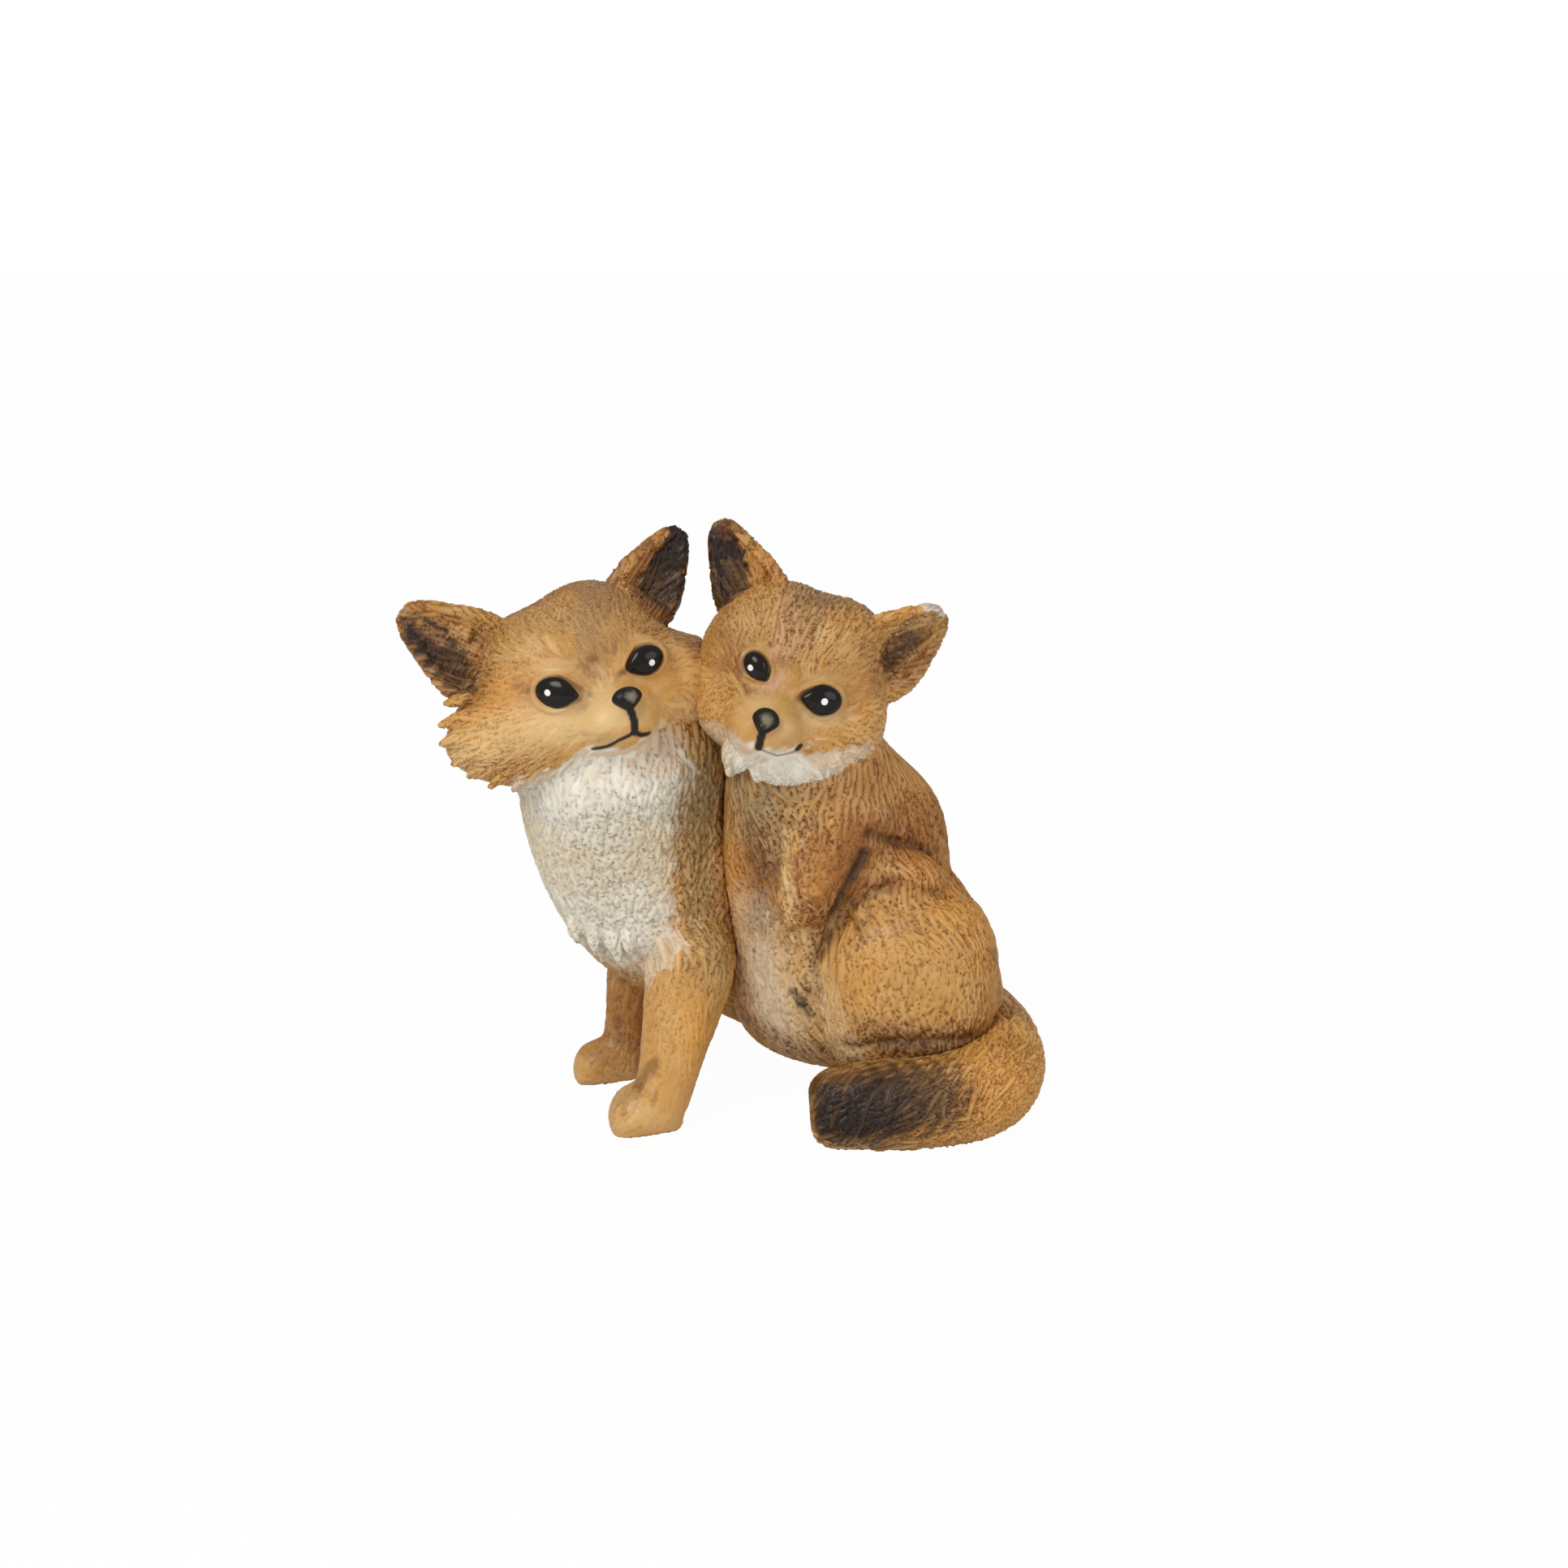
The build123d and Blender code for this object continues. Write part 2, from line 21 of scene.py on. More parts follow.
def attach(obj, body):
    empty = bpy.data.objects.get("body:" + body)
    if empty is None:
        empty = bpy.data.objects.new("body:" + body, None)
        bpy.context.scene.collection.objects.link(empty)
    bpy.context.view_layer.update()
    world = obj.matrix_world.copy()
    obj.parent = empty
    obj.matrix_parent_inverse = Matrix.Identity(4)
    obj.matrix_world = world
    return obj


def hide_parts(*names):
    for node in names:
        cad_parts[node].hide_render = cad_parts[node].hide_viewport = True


bl_info = {
    "name": "Fox cub ornament",
    "version": (1, 0, 0),
    "blender": (4, 5, 0),
    "location": "View3D > Sidebar > Fox cubs",
    "description": "Sculpts and paints the skins of a resin pair of fox cubs over their solids",
    "category": "Object",
}

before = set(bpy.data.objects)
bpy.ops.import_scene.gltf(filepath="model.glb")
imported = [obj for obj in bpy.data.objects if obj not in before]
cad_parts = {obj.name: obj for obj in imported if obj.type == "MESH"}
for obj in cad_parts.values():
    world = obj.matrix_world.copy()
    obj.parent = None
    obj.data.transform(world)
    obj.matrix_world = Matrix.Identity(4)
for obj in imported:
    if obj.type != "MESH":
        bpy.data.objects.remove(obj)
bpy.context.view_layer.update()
MM = 0.001

# Paints, as sRGB from 0 to 255
PAINTS = {
    "gold": (210, 158, 86),
    "deep_gold": (188, 126, 50),
    "orange": (226, 162, 74),
    "fawn": (172, 136, 80),
    "bronze": (168, 112, 48),
    "amber": (152, 92, 32),
    "cream": (230, 192, 132),
    "white": (240, 236, 222),
    "ivory": (228, 218, 194),
    "tan": (164, 138, 98),
    "grey_brown": (162, 122, 82),
    "brown": (112, 70, 34),
    "red_brown": (138, 82, 36),
    "umber": (74, 48, 30),
    "dark": (42, 28, 20),
    "black": (14, 10, 9),
    "pink": (200, 150, 118),
    "bare_resin": (240, 238, 232),
}

# Combs: a point, the way the fur lies there, and a tuft's length, width and height
LEFT_FACE_COMB = [
    (-16.5, -24, 71, -0.5, 0.5, 0.85, 2.2, 0.6, 0.05),
    (-19, -21.4, 72.4, -0.4, 0.4, 0.8, 3.0, 0.7, 0.12),
    (-21, -16, 79, -0.2, 0.6, 0.7, 3.6, 0.7, 0.22),
    (-20, -9, 83, -0.2, 1, 0.2, 4.0, 0.9, 0.28),
    (-29, -17, 77, -0.7, 0.5, 0.5, 4.2, 0.8, 0.24),
    (-34, -13, 76, -0.9, 0.4, 0.3, 4.0, 1.1, 0.42),
    (-36, -16, 71, -0.9, 0.3, 0.1, 4.0, 1.0, 0.36),
    (-13, -12, 80, 0.3, 0.6, 0.6, 3.6, 0.9, 0.34),
    (-14, -7, 84, 0.2, 0.5, 0.8, 3.6, 1.2, 0.42),
    (-7, -12, 75, 0.8, 0.4, -0.1, 3.0, 0.8, 0.18),
    (-6, -12, 66, 0.3, 0.1, -0.9, 3.0, 0.8, 0.26),
    (-20.5, -23.5, 66, -0.8, 0.3, -0.3, 2.2, 0.6, 0.06),
    (-25, -23.5, 65.5, -0.9, 0.2, -0.3, 3.0, 0.7, 0.16),
    (-31, -21.5, 69.5, -1, 0.4, -0.1, 3.6, 0.8, 0.22),
    (-34, -21, 64.5, -0.9, 0.2, -0.45, 5.0, 0.9, 0.34),
    (-39.5, -15, 61, -0.8, 0.4, -0.6, 5.0, 1.3, 0.6),
    (-31, -20, 58, -0.6, 0.2, -0.8, 4.5, 1.3, 0.55),
    (-22, -21, 58, -0.3, 0.1, -1, 3.6, 1.2, 0.42),
    (-16, -21.5, 60, -0.05, 0.1, -1, 2.6, 1.0, 0.28),
    (-8, -14, 60, 0.3, 0.1, -1, 3.2, 1.1, 0.4),
    (-10.5, -20, 66.5, 0.6, 0.4, -0.4, 2.2, 0.7, 0.08),
    (-25, 5, 68, 0, 0.2, -1, 5.0, 1.2, 0.4),
    (-38, -2, 65, -0.3, 0.8, -0.5, 5.0, 1.2, 0.4),
    (-41, -14, 75, -0.9, 0, 0.45, 5.0, 0.8, 0.32),
    (-46, -14, 79, -0.8, 0, 0.6, 4.5, 0.8, 0.3),
    (-10, -3, 86, 0.4, 0.1, 0.9, 4.5, 0.8, 0.3),
    (-8, -2, 90, 0.4, 0.1, 0.9, 4.0, 0.8, 0.26),
]
RIGHT_FACE_COMB = [
    (8.5, -21, 71, 0.25, 0.4, 0.9, 2.2, 0.6, 0.06),
    (11, -19, 76, 0.25, 0.5, 0.9, 5.0, 1.1, 0.5),
    (13, -15, 80.5, 0.35, 0.6, 0.6, 5.0, 1.1, 0.5),
    (16, -9, 83, 0.4, 0.9, 0.1, 5.0, 1.1, 0.4),
    (3, -15, 80, -0.4, 0.5, 0.7, 3.6, 0.8, 0.3),
    (2, -8, 84, -0.2, 0.5, 0.85, 3.6, 1.0, 0.34),
    (-1, -14, 74, -0.8, 0.3, 0.1, 3.0, 0.8, 0.22),
    (0, -18, 66, -0.6, 0.2, -0.7, 3.0, 0.9, 0.26),
    (20, -15, 77, 0.9, 0.4, 0.3, 4.0, 0.9, 0.28),
    (19, -19, 69, 0.9, 0.4, -0.1, 3.6, 0.8, 0.18),
    (20.5, -17.5, 63.5, 0.8, 0.3, -0.35, 4.5, 0.9, 0.32),
    (23, -10, 60, 0.6, 0.6, -0.5, 4.5, 1.1, 0.4),
    (10, -24, 65, 0.7, 0.4, -0.2, 2.2, 0.6, 0.06),
    (2.5, -25, 65.5, -0.6, 0.3, -0.2, 2.2, 0.6, 0.06),
    (8, -20, 59, 0.1, 0.1, -1, 3.0, 1.1, 0.4),
    (1, -18, 59, -0.2, 0.1, -1, 3.0, 1.0, 0.38),
    (16, -17, 57.5, 0.3, 0.2, -0.9, 3.2, 1.1, 0.4),
    (15, 3, 68, 0, 0.2, -1, 5.0, 1.2, 0.4),
    (27, -10, 75, 0.8, 0, 0.6, 4.5, 0.9, 0.28),
    (31, -10, 80, 0.8, 0, 0.6, 4.5, 0.9, 0.24),
    (1, -4.5, 85, -0.2, 0.1, 1, 5.0, 0.9, 0.3),
]
LEFT_COAT_COMB = [
    (-29.5, -13.8, 49.8, -0.15, -0.1, -1, 3.6, 1.4, 0.5),
    (-16.6, -19, 51.3, 0, -0.1, -1, 3.6, 1.4, 0.5),
    (-6, -14, 52.4, 0.1, -0.1, -1, 3.2, 1.6, 0.5),
    (-28, -14, 41, 0.25, -0.1, -0.9, 3.8, 1.2, 0.45),
    (-19.5, -17, 40, 0.1, 0, -1, 3.6, 1.2, 0.45),
    (-11, -16, 41, -0.5, 0, -0.8, 3.2, 1.3, 0.45),
    (-9, -15.5, 36, 0.6, 0, -0.7, 3.0, 1.2, 0.42),
    (-17.4, -14, 30, 0.25, 0.1, -0.9, 3.6, 1.2, 0.45),
    (-25, -9, 28, 0.35, 0.1, -0.9, 3.4, 1.2, 0.5),
    (-5, -12.5, 39, -0.1, 0, -1, 3.0, 1.0, 0.34),
    (-3.4, -11, 49, -0.4, 0, -0.9, 3.0, 1.4, 0.42),
    (-7, -17.6, 25, -0.35, -0.1, -0.9, 3.2, 0.9, 0.24),
    (-7.8, -20, 16.5, -0.15, -0.1, -1, 3.2, 0.8, 0.17),
    (-8, -22, 9, -0.2, -0.2, -1, 2.8, 0.7, 0.1),
    (-13.3, -25, 4.5, -0.9, -0.2, -0.4, 2.5, 0.8, 0.1),
    (-18, -1, 15, 0, 0, -1, 3.2, 0.8, 0.18),
    (-22.6, -3.8, 4.5, -0.9, -0.2, -0.3, 2.5, 0.8, 0.1),
    (-10, 15, 45, 0.3, 0.2, -1, 6.0, 1.3, 0.42),
    (5, 22, 25, 0.5, 0.2, -0.8, 6.0, 1.3, 0.42),
    (-30, 5, 40, 0.3, 0.3, -0.9, 5.0, 1.3, 0.42),
    (-15, 8, 25, 0.6, 0.3, -0.6, 5.0, 1.2, 0.4),
    (11, 29, 12, 0.3, 0, -1, 5.0, 1.2, 0.4),
    (-5, 0, 15, 0.6, 0.2, -0.3, 4.5, 1.1, 0.35),
]
RIGHT_COAT_COMB = [
    (8, -17.5, 52, 0.25, -0.1, -1, 3.2, 1.2, 0.5),
    (4, -15, 46, 0.35, 0, -0.9, 5.0, 0.8, 0.34),
    (8, -16, 40, -0.1, 0, -1, 5.0, 0.8, 0.3),
    (1, -13, 42, 0.3, 0, -1, 4.5, 0.8, 0.3),
    (4, -12.7, 31, 0.15, 0, -1, 4.0, 0.9, 0.26),
    (6.6, -12, 20, 0.55, 0, -0.8, 4.0, 1.1, 0.36),
    (12, -13, 24, 0.7, 0, -0.7, 3.6, 1.3, 0.55),
    (12, -13, 14, 0.7, 0, -0.7, 5.0, 1.0, 0.34),
    (20, -18, 51, -0.5, -0.1, -0.85, 4.5, 0.9, 0.24),
    (14, -19.7, 41, -0.45, -0.1, -0.9, 5.0, 0.8, 0.22),
    (10.3, -19, 34.7, -0.4, -0.1, -0.9, 3.6, 1.1, 0.42),
    (29, -9, 51, 0.5, 0.1, -0.85, 6.0, 1.2, 0.45),
    (35, -1, 38, 0.35, 0.1, -0.95, 6.0, 1.2, 0.45),
    (27, -16, 37, 0.75, -0.1, -0.65, 4.5, 1.1, 0.4),
    (38, -15, 32, 0.45, -0.1, -0.9, 6.0, 0.9, 0.34),
    (26, -21, 33, -0.1, 0, -0.95, 3.6, 0.9, 0.26),
    (18, -19, 24, 0.3, 0, -0.95, 5.0, 0.9, 0.32),
    (27.6, -21.8, 27, -0.25, 0, -0.95, 3.6, 1.0, 0.28),
    (37.5, -19, 28, -0.15, 0, -1, 5.0, 0.9, 0.32),
    (25, -21.5, 14, 0.1, 0, -1, 4.0, 1.1, 0.38),
    (30, 15, 30, 0.2, 0.2, -1, 6.0, 1.3, 0.42),
    (30, 20, 14, 0, 0, -1, 5.0, 1.2, 0.4),
]
RIGHT_BRUSH_COMB = [
    (42, 4, 12, 0.6, -0.8, -0.1, 5.0, 1.2, 0.4),
    (49, -5, 12, 0, -1, -0.15, 5.5, 1.2, 0.4),
    (47, -18, 11, -0.4, -0.9, -0.35, 5.5, 1.1, 0.4),
    (40, -27, 9, -0.85, -0.3, -0.5, 5.5, 1.1, 0.42),
    (27, -30, 8, -0.85, 0, -0.5, 5.5, 1.2, 0.46),
    (16, -29, 8, -0.95, 0.1, -0.35, 5.0, 1.2, 0.46),
    (27, -24, 13, -1, 0, 0.1, 6.0, 1.1, 0.42),
    (16, -24, 12, -0.9, 0, -0.3, 5.0, 1.1, 0.42),
]
LEFT_BRUSH_COMB = [
    (17, 24, 6, 0.8, 0.5, -0.2, 5.5, 1.2, 0.4),
    (30, 28, 6, 1, 0, -0.2, 5.5, 1.2, 0.4),
    (42, 22, 5, 0.8, -0.5, -0.2, 5.0, 1.2, 0.4),
]

# Airbrush strokes: both ends, radius, paint, strength and the share of the radius that is solid
LEFT_FACE_STROKES = [
    ((-25, 14, 78), (-25, 14, 60), 24, "deep_gold", 0.8, 0.5),
    ((-33, -6, 80), (-14, -4, 86), 4.4, "brown", 0.6, 0.2),
    ((-28, -18.5, 77.5), (-32, -17, 73.5), 4.5, "gold", 0.7, 0.4),
    ((-19.0, -9, 84.5), (-19.2, -17, 78.5), 4.6, "grey_brown", 0.95, 0.45),
    ((-19.2, -18, 77.5), (-18.6, -21.5, 72.4), 3.0, "grey_brown", 0.85, 0.35),
    ((-13, -9, 81), (-9, -10, 77), 3.6, "deep_gold", 0.75, 0.4),
    ((-10, -7, 81), (-5.4, -9.5, 74.5), 2.6, "brown", 0.7, 0.3),
    ((-36.4, -14.5, 76.2), (-36.6, -18.4, 68.4), 3.0, "red_brown", 0.8, 0.35),
    ((-30, -18, 77), (-13, -16, 79), 7.0, "fawn", 0.45, 0.2),
    ((-33, -21, 70), (-35, -20, 66), 3.4, "orange", 0.6, 0.3),
    ((-38.6, -21.5, 61.6), (-32.5, -23, 63), 4.6, "cream", 0.7, 0.3),
    ((-17, -25, 68), (-23, -24, 65.6), 4.6, "cream", 0.95, 0.4),
    ((-24, -23.5, 66), (-29, -23, 66.2), 3.2, "cream", 0.7, 0.3),
    ((-16.6, -23, 71.4), (-16.4, -24, 70), 2.6, "cream", 0.5, 0.3),
    ((-10.5, -20.5, 68), (-9.5, -20, 65), 2.8, "cream", 0.75, 0.3),
    ((-6, -14, 66.5), (-5.4, -12.6, 62.6), 3.6, "cream", 0.8, 0.3),
    ((-16.6, -7.0, 85.2), (-16.2, -7.4, 84.6), 0.6, "bare_resin", 0.9, 0.5),
    ((-19.2, -11.6, 82.9), (-18.7, -11.9, 82.4), 0.6, "bare_resin", 0.9, 0.5),
    ((-30.5, -19.5, 55.0), (-21, -20.5, 57.6), 2.8, "white", 1.0, 0.6),
    ((-20, -21.4, 59.0), (-12, -20.5, 60.6), 3.6, "white", 1.0, 0.7),
    ((-10.4, -19.6, 62), (-3, -13.6, 60.5), 4.0, "ivory", 1.0, 0.6),
    ((-20.6, -23, 71.2), (-29.5, -23, 70.8), 3.0, "deep_gold", 0.6, 0.45),
    ((-29.0, -23, 71.0), (-30.6, -22.4, 71.2), 1.2, "brown", 0.75, 0.2),
    ((-20.9, -23.5, 70.9), (-19.8, -23.5, 70.4), 1.0, "umber", 0.85, 0.3),
    ((-28.0, -22, 74.4), (-22.4, -22.5, 74.6), 1.3, "cream", 0.75, 0.3),
    ((-15.4, -20.5, 72.8), (-8, -17, 76.5), 2.8, "deep_gold", 0.6, 0.45),
    ((-15.0, -20.8, 72.9), (-15.9, -21.4, 72.5), 1.0, "umber", 0.85, 0.3),
    ((-8.2, -16.5, 76.8), (-7, -15.5, 77.2), 1.4, "brown", 0.7, 0.2),
    ((-14.5, -17, 78.0), (-10.5, -16.5, 78.4), 1.1, "cream", 0.5, 0.3),
    ((-4.9, -12, 67), (-4.6, -10, 78), 2.3, "red_brown", 0.8, 0.3),
    ((-40.5, -15, 72.0), (-45.5, -15.8, 79.0), 4.3, "red_brown", 0.9, 0.5),
    ((-40.9, -15, 72.8), (-45.5, -15.8, 79.0), 3.4, "dark", 1.0, 0.5),
    ((-39.2, -15.6, 69.6), (-40.6, -15.4, 71.0), 2.6, "umber", 0.9, 0.6),
    ((-42.5, -14.8, 76.6), (-46.6, -15.6, 80.4), 1.4, "grey_brown", 0.65, 0.3),
    ((-48.6, -16.2, 82.4), (-47.6, -16.4, 81.8), 1.3, "tan", 0.7, 0.3),
    ((-38.8, -15.2, 78.6), (-47.0, -15.6, 82.8), 1.3, "deep_gold", 0.8, 0.5),
    ((-12.0, -3.4, 81.6), (-8.0, -0.4, 90.0), 4.6, "red_brown", 0.9, 0.6),
    ((-11.4, -3.2, 82.0), (-7.8, -0.4, 90.0), 3.6, "dark", 1.0, 0.6),
    ((-9.0, -3.6, 78.4), (-7.0, -1.4, 82.5), 3.0, "dark", 0.9, 0.5),
    ((-12.4, -5.6, 80.4), (-10.0, -5.0, 78.0), 1.4, "red_brown", 0.75, 0.3),
    ((-16.6, -4.6, 83.6), (-10.2, -0.6, 90.6), 1.5, "deep_gold", 0.9, 0.5),
]
RIGHT_FACE_STROKES = [
    ((12, 14, 78), (12, 14, 60), 22, "deep_gold", 0.8, 0.5),
    ((10.4, -18.4, 78.5), (13.4, -10, 83), 5.2, "grey_brown", 0.85, 0.3),
    ((15, -12, 82.4), (20.0, -9, 79.0), 3.0, "brown", 0.6, 0.3),
    ((0, -12, 80.5), (-2.6, -12, 74), 2.6, "bronze", 0.75, 0.3),
    ((20.6, -15, 75.5), (21.6, -15, 70.5), 2.7, "brown", 0.7, 0.3),
    ((19.5, -18.4, 72.4), (20.5, -17.4, 68.0), 2.4, "deep_gold", 0.6, 0.3),
    ((20, -18, 66), (15, -20.5, 65), 3.4, "orange", 0.6, 0.3),
    ((11, -22.5, 66.2), (18.5, -19.5, 66.0), 1.7, "cream", 0.65, 0.3),
    ((0, -18.6, 70), (-2, -15, 67), 3.2, "gold", 0.6, 0.3),
    ((5.6, -25.5, 69.4), (7.6, -22.5, 72), 2.8, "cream", 0.6, 0.3),
    ((10, -24, 66), (9.6, -23, 64), 2.6, "gold", 0.6, 0.3),
    ((3, -19, 76), (12, -21, 71), 8.0, "fawn", 0.6, 0.2),
    ((2.0, -22, 62.6), (8.4, -22.4, 60.8), 3.0, "white", 1.0, 0.6),
    ((0.4, -19.0, 59.4), (10, -20, 57.0), 4.4, "white", 1.0, 0.7),
    ((10, -20, 57.4), (19.6, -17.0, 58.6), 3.8, "white", 1.0, 0.65),
    ((-2.6, -14.5, 62.6), (1, -18, 61), 3.0, "ivory", 1.0, 0.5),
    ((-0.6, -14.5, 59), (1, -15, 57), 3.4, "ivory", 1.0, 0.6),
    ((2.0, -19.4, 72.4), (6.4, -20.6, 71.4), 2.8, "deep_gold", 0.6, 0.4),
    ((7.2, -21, 71.6), (5.6, -21, 69.8), 1.5, "pink", 0.9, 0.4),
    ((2.0, -19, 74.6), (1.8, -19.4, 72.4), 1.3, "red_brown", 0.95, 0.4),
    ((3.0, -20, 70.6), (4.2, -20.6, 69.9), 0.8, "red_brown", 0.9, 0.4),
    ((6.6, -20, 76.4), (7.4, -20, 74.6), 0.9, "pink", 0.8, 0.3),
    ((10.5, -22, 70), (18.5, -19.5, 68.4), 3.2, "deep_gold", 0.55, 0.5),
    ((11.0, -22.4, 69.4), (10.4, -22.4, 69.2), 0.9, "umber", 0.8, 0.3),
    ((12, -20.5, 73.0), (16.5, -19, 72.6), 1.3, "cream", 0.7, 0.3),
    ((22, -13, 77.6), (29, -11, 81.0), 2.0, "orange", 0.7, 0.3),
    ((24.8, -12.2, 72.8), (28.8, -11.4, 77.0), 3.4, "brown", 0.95, 0.45),
    ((24.4, -12.6, 73.4), (27.4, -11.6, 76.0), 2.5, "dark", 0.85, 0.4),
    ((28.2, -11.0, 78.4), (31.0, -11.6, 80.0), 1.6, "tan", 0.8, 0.3),
    ((26.6, -12.4, 69.8), (29.8, -11.8, 74.0), 1.7, "red_brown", 0.8, 0.4),
    ((30.0, -11.6, 82.2), (32.8, -10.8, 81.2), 1.5, "bare_resin", 1.0, 0.85),
    ((-0.8, -5.2, 82.4), (-0.6, -4.6, 89.6), 3.9, "red_brown", 0.9, 0.6),
    ((-0.8, -5.2, 82.4), (-0.6, -4.6, 89.6), 3.0, "dark", 1.0, 0.6),
    ((1.8, -4.8, 83.6), (1.2, -4.6, 87.6), 2.3, "dark", 0.95, 0.5),
    ((-0.4, -4.4, 91.2), (0.6, -4.6, 92.6), 1.6, "brown", 0.85, 0.4),
    ((2.4, -4.8, 91.4), (5.6, -6.0, 85.8), 1.3, "deep_gold", 0.9, 0.5),
]
LEFT_COAT_STROKES = [
    ((-10, 20, 45), (0, 24, 20), 18, "deep_gold", 0.7, 0.5),
    ((-29, -15, 58), (-25, -15, 34), 12, "ivory", 1.0, 0.7),
    ((-18, -19, 59), (-17, -16.5, 32), 9.6, "ivory", 1.0, 0.6),
    ((-9, -18, 60), (-12.5, -17, 42), 5.6, "ivory", 1.0, 0.5),
    ((-26, -18, 58), (-8, -17, 60), 4.0, "white", 1.0, 0.6),
    ((-25, -15, 38), (-17, -15, 29), 6.5, "white", 0.95, 0.5),
    ((-15, -16.5, 37.5), (-10.5, -16, 35), 3.6, "white", 0.95, 0.5),
    ((-28, -17, 52), (-14, -19.5, 57), 4.2, "white", 0.95, 0.5),
    ((-31, -13, 47), (-23, -16.5, 44), 3.0, "cream", 0.45, 0.3),
    ((-14, -18, 49), (-9, -16.5, 45), 3.0, "cream", 0.5, 0.3),
    ((-22, -10, 26.4), (-11, -13, 27), 2.2, "tan", 0.55, 0.3),
    ((-4.6, -13.8, 57), (-6.4, -14.6, 51), 4.4, "tan", 0.95, 0.4),
    ((-3.4, -12.6, 50), (-3.0, -13, 27), 5.0, "fawn", 0.95, 0.55),
    # Painted shade: bronze and brown darken the flank where it turns in to the seam with the right cub
    ((-0.6, -10, 52), (-0.4, -9.4, 27), 2.4, "bronze", 0.85, 0.35),
    ((0.2, -8, 46), (0.2, -8, 30), 1.6, "brown", 0.6, 0.1),
    ((-7, -18, 24), (-7.4, -20.4, 15), 6.5, "gold", 0.95, 0.6),
    ((-5.4, -18, 20), (-6.4, -20, 10), 2.6, "orange", 0.8, 0.4),
    ((-9, -20, 12), (-10, -24, 5), 4.4, "gold", 0.9, 0.6),
    ((-13.4, -26, 5.0), (-10, -26, 3.0), 3.0, "cream", 0.75, 0.4),
    ((-13.8, -21, 8.2), (-11.4, -21, 11.4), 1.5, "brown", 0.85, 0.3),
    ((-17.5, 3, 26), (-18, 0, 10), 6.4, "bronze", 1.0, 0.7),
    ((-19.4, -2, 15), (-18.0, -3, 7), 1.8, "brown", 0.8, 0.3),
    ((-20, -2, 24), (-20, -2, 18), 1.4, "orange", 0.6, 0.3),
    ((-22.5, -3, 4), (-18, -2, 3), 4.4, "gold", 0.8, 0.5),
    ((-24.4, -4, 6.0), (-22.0, -4, 6.4), 1.4, "tan", 0.8, 0.3),
    # Painted shade between the two necks
    ((-4.4, -13.5, 60), (-2.6, -12.5, 52), 4.6, "tan", 0.9, 0.3),
]
RIGHT_COAT_STROKES = [
    ((30, 14, 50), (32, 18, 20), 16, "deep_gold", 0.7, 0.5),
    ((30, -8, 52), (37, 0, 38), 10, "deep_gold", 0.95, 0.5),
    ((34, -6, 48), (36, -2, 42), 4.0, "red_brown", 0.7, 0.3),
    ((26, -13, 46), (32, -10, 42), 3.0, "red_brown", 0.9, 0.4),
    ((2, -15.5, 56.4), (13, -18.5, 55.4), 3.6, "tan", 1.0, 0.5),
    ((4, -15.5, 47), (5, -14.8, 36), 6.4, "deep_gold", 0.9, 0.2),
    ((3, -15.5, 49), (5.4, -14.8, 41), 5.6, "brown", 0.85, 0.05),
    ((1, -11, 50), (1.4, -10, 32), 2.6, "deep_gold", 0.7, 0.3),
    ((4, -13, 33), (6.4, -12, 17), 7.4, "ivory", 0.7, 0.1),
    ((3.8, -12, 26.9), (4.0, -12, 26.6), 0.5, "black", 0.9, 0.3),
    ((10, -14, 30), (12, -13, 18), 5.0, "cream", 0.8, 0.2),
    ((14, -16, 24), (19, -19, 13), 3.2, "ivory", 0.8, 0.3),
    ((13.6, -14, 29), (14.6, -14, 20), 1.7, "brown", 0.8, 0.2),
    ((9.6, -13, 27.6), (12.4, -13, 24.4), 0.8, "umber", 0.7, 0.2),
    ((9.0, -13, 24.6), (12.0, -13, 21.0), 0.8, "umber", 0.7, 0.2),
    ((10.2, -13, 20.6), (12.6, -13, 16.6), 1.3, "umber", 0.9, 0.3),
    ((-1, -9, 14.5), (14, -11, 9), 3.2, "umber", 0.65, 0.3),
    ((19.5, -17.5, 53), (13.4, -20, 38), 7.0, "amber", 0.95, 0.5),
    ((22, -16, 54), (28, -12, 46), 7.0, "amber", 0.85, 0.3),
    ((16, -19.5, 49), (12.6, -20.4, 40), 2.6, "deep_gold", 0.8, 0.3),
    ((8.4, -17.6, 48), (9.6, -19.4, 34), 1.5, "cream", 0.9, 0.4),
    ((20.6, -18, 44), (15.6, -18, 33), 2.0, "umber", 0.85, 0.3),
    ((30, -14, 40), (38, -10, 33), 5.0, "orange", 0.85, 0.3),
    ((19, -16.6, 38.4), (26, -16.6, 39.6), 1.6, "red_brown", 0.8, 0.3),
    ((27, -22, 31), (25, -22, 22), 8.0, "gold", 0.85, 0.45),
    ((22, -21, 29), (21, -21, 23), 2.0, "orange", 0.6, 0.3),
    ((38, -18, 30), (40.4, -14, 20), 4.4, "deep_gold", 0.9, 0.4),
    ((40.6, -14, 27), (42, -11, 19), 2.0, "brown", 0.8, 0.3),
    ((15, -17, 25), (19, -19, 12), 2.2, "cream", 0.85, 0.3),
    ((22, -22, 16.5), (38, -20, 15.0), 5.0, "brown", 0.95, 0.15),
    ((24, -22, 14.0), (38, -20, 13), 2.4, "umber", 0.7, 0.2),
    # Painted shade between the two necks
    ((0, -12, 58), (5, -15, 52), 4.2, "tan", 0.85, 0.3),
]
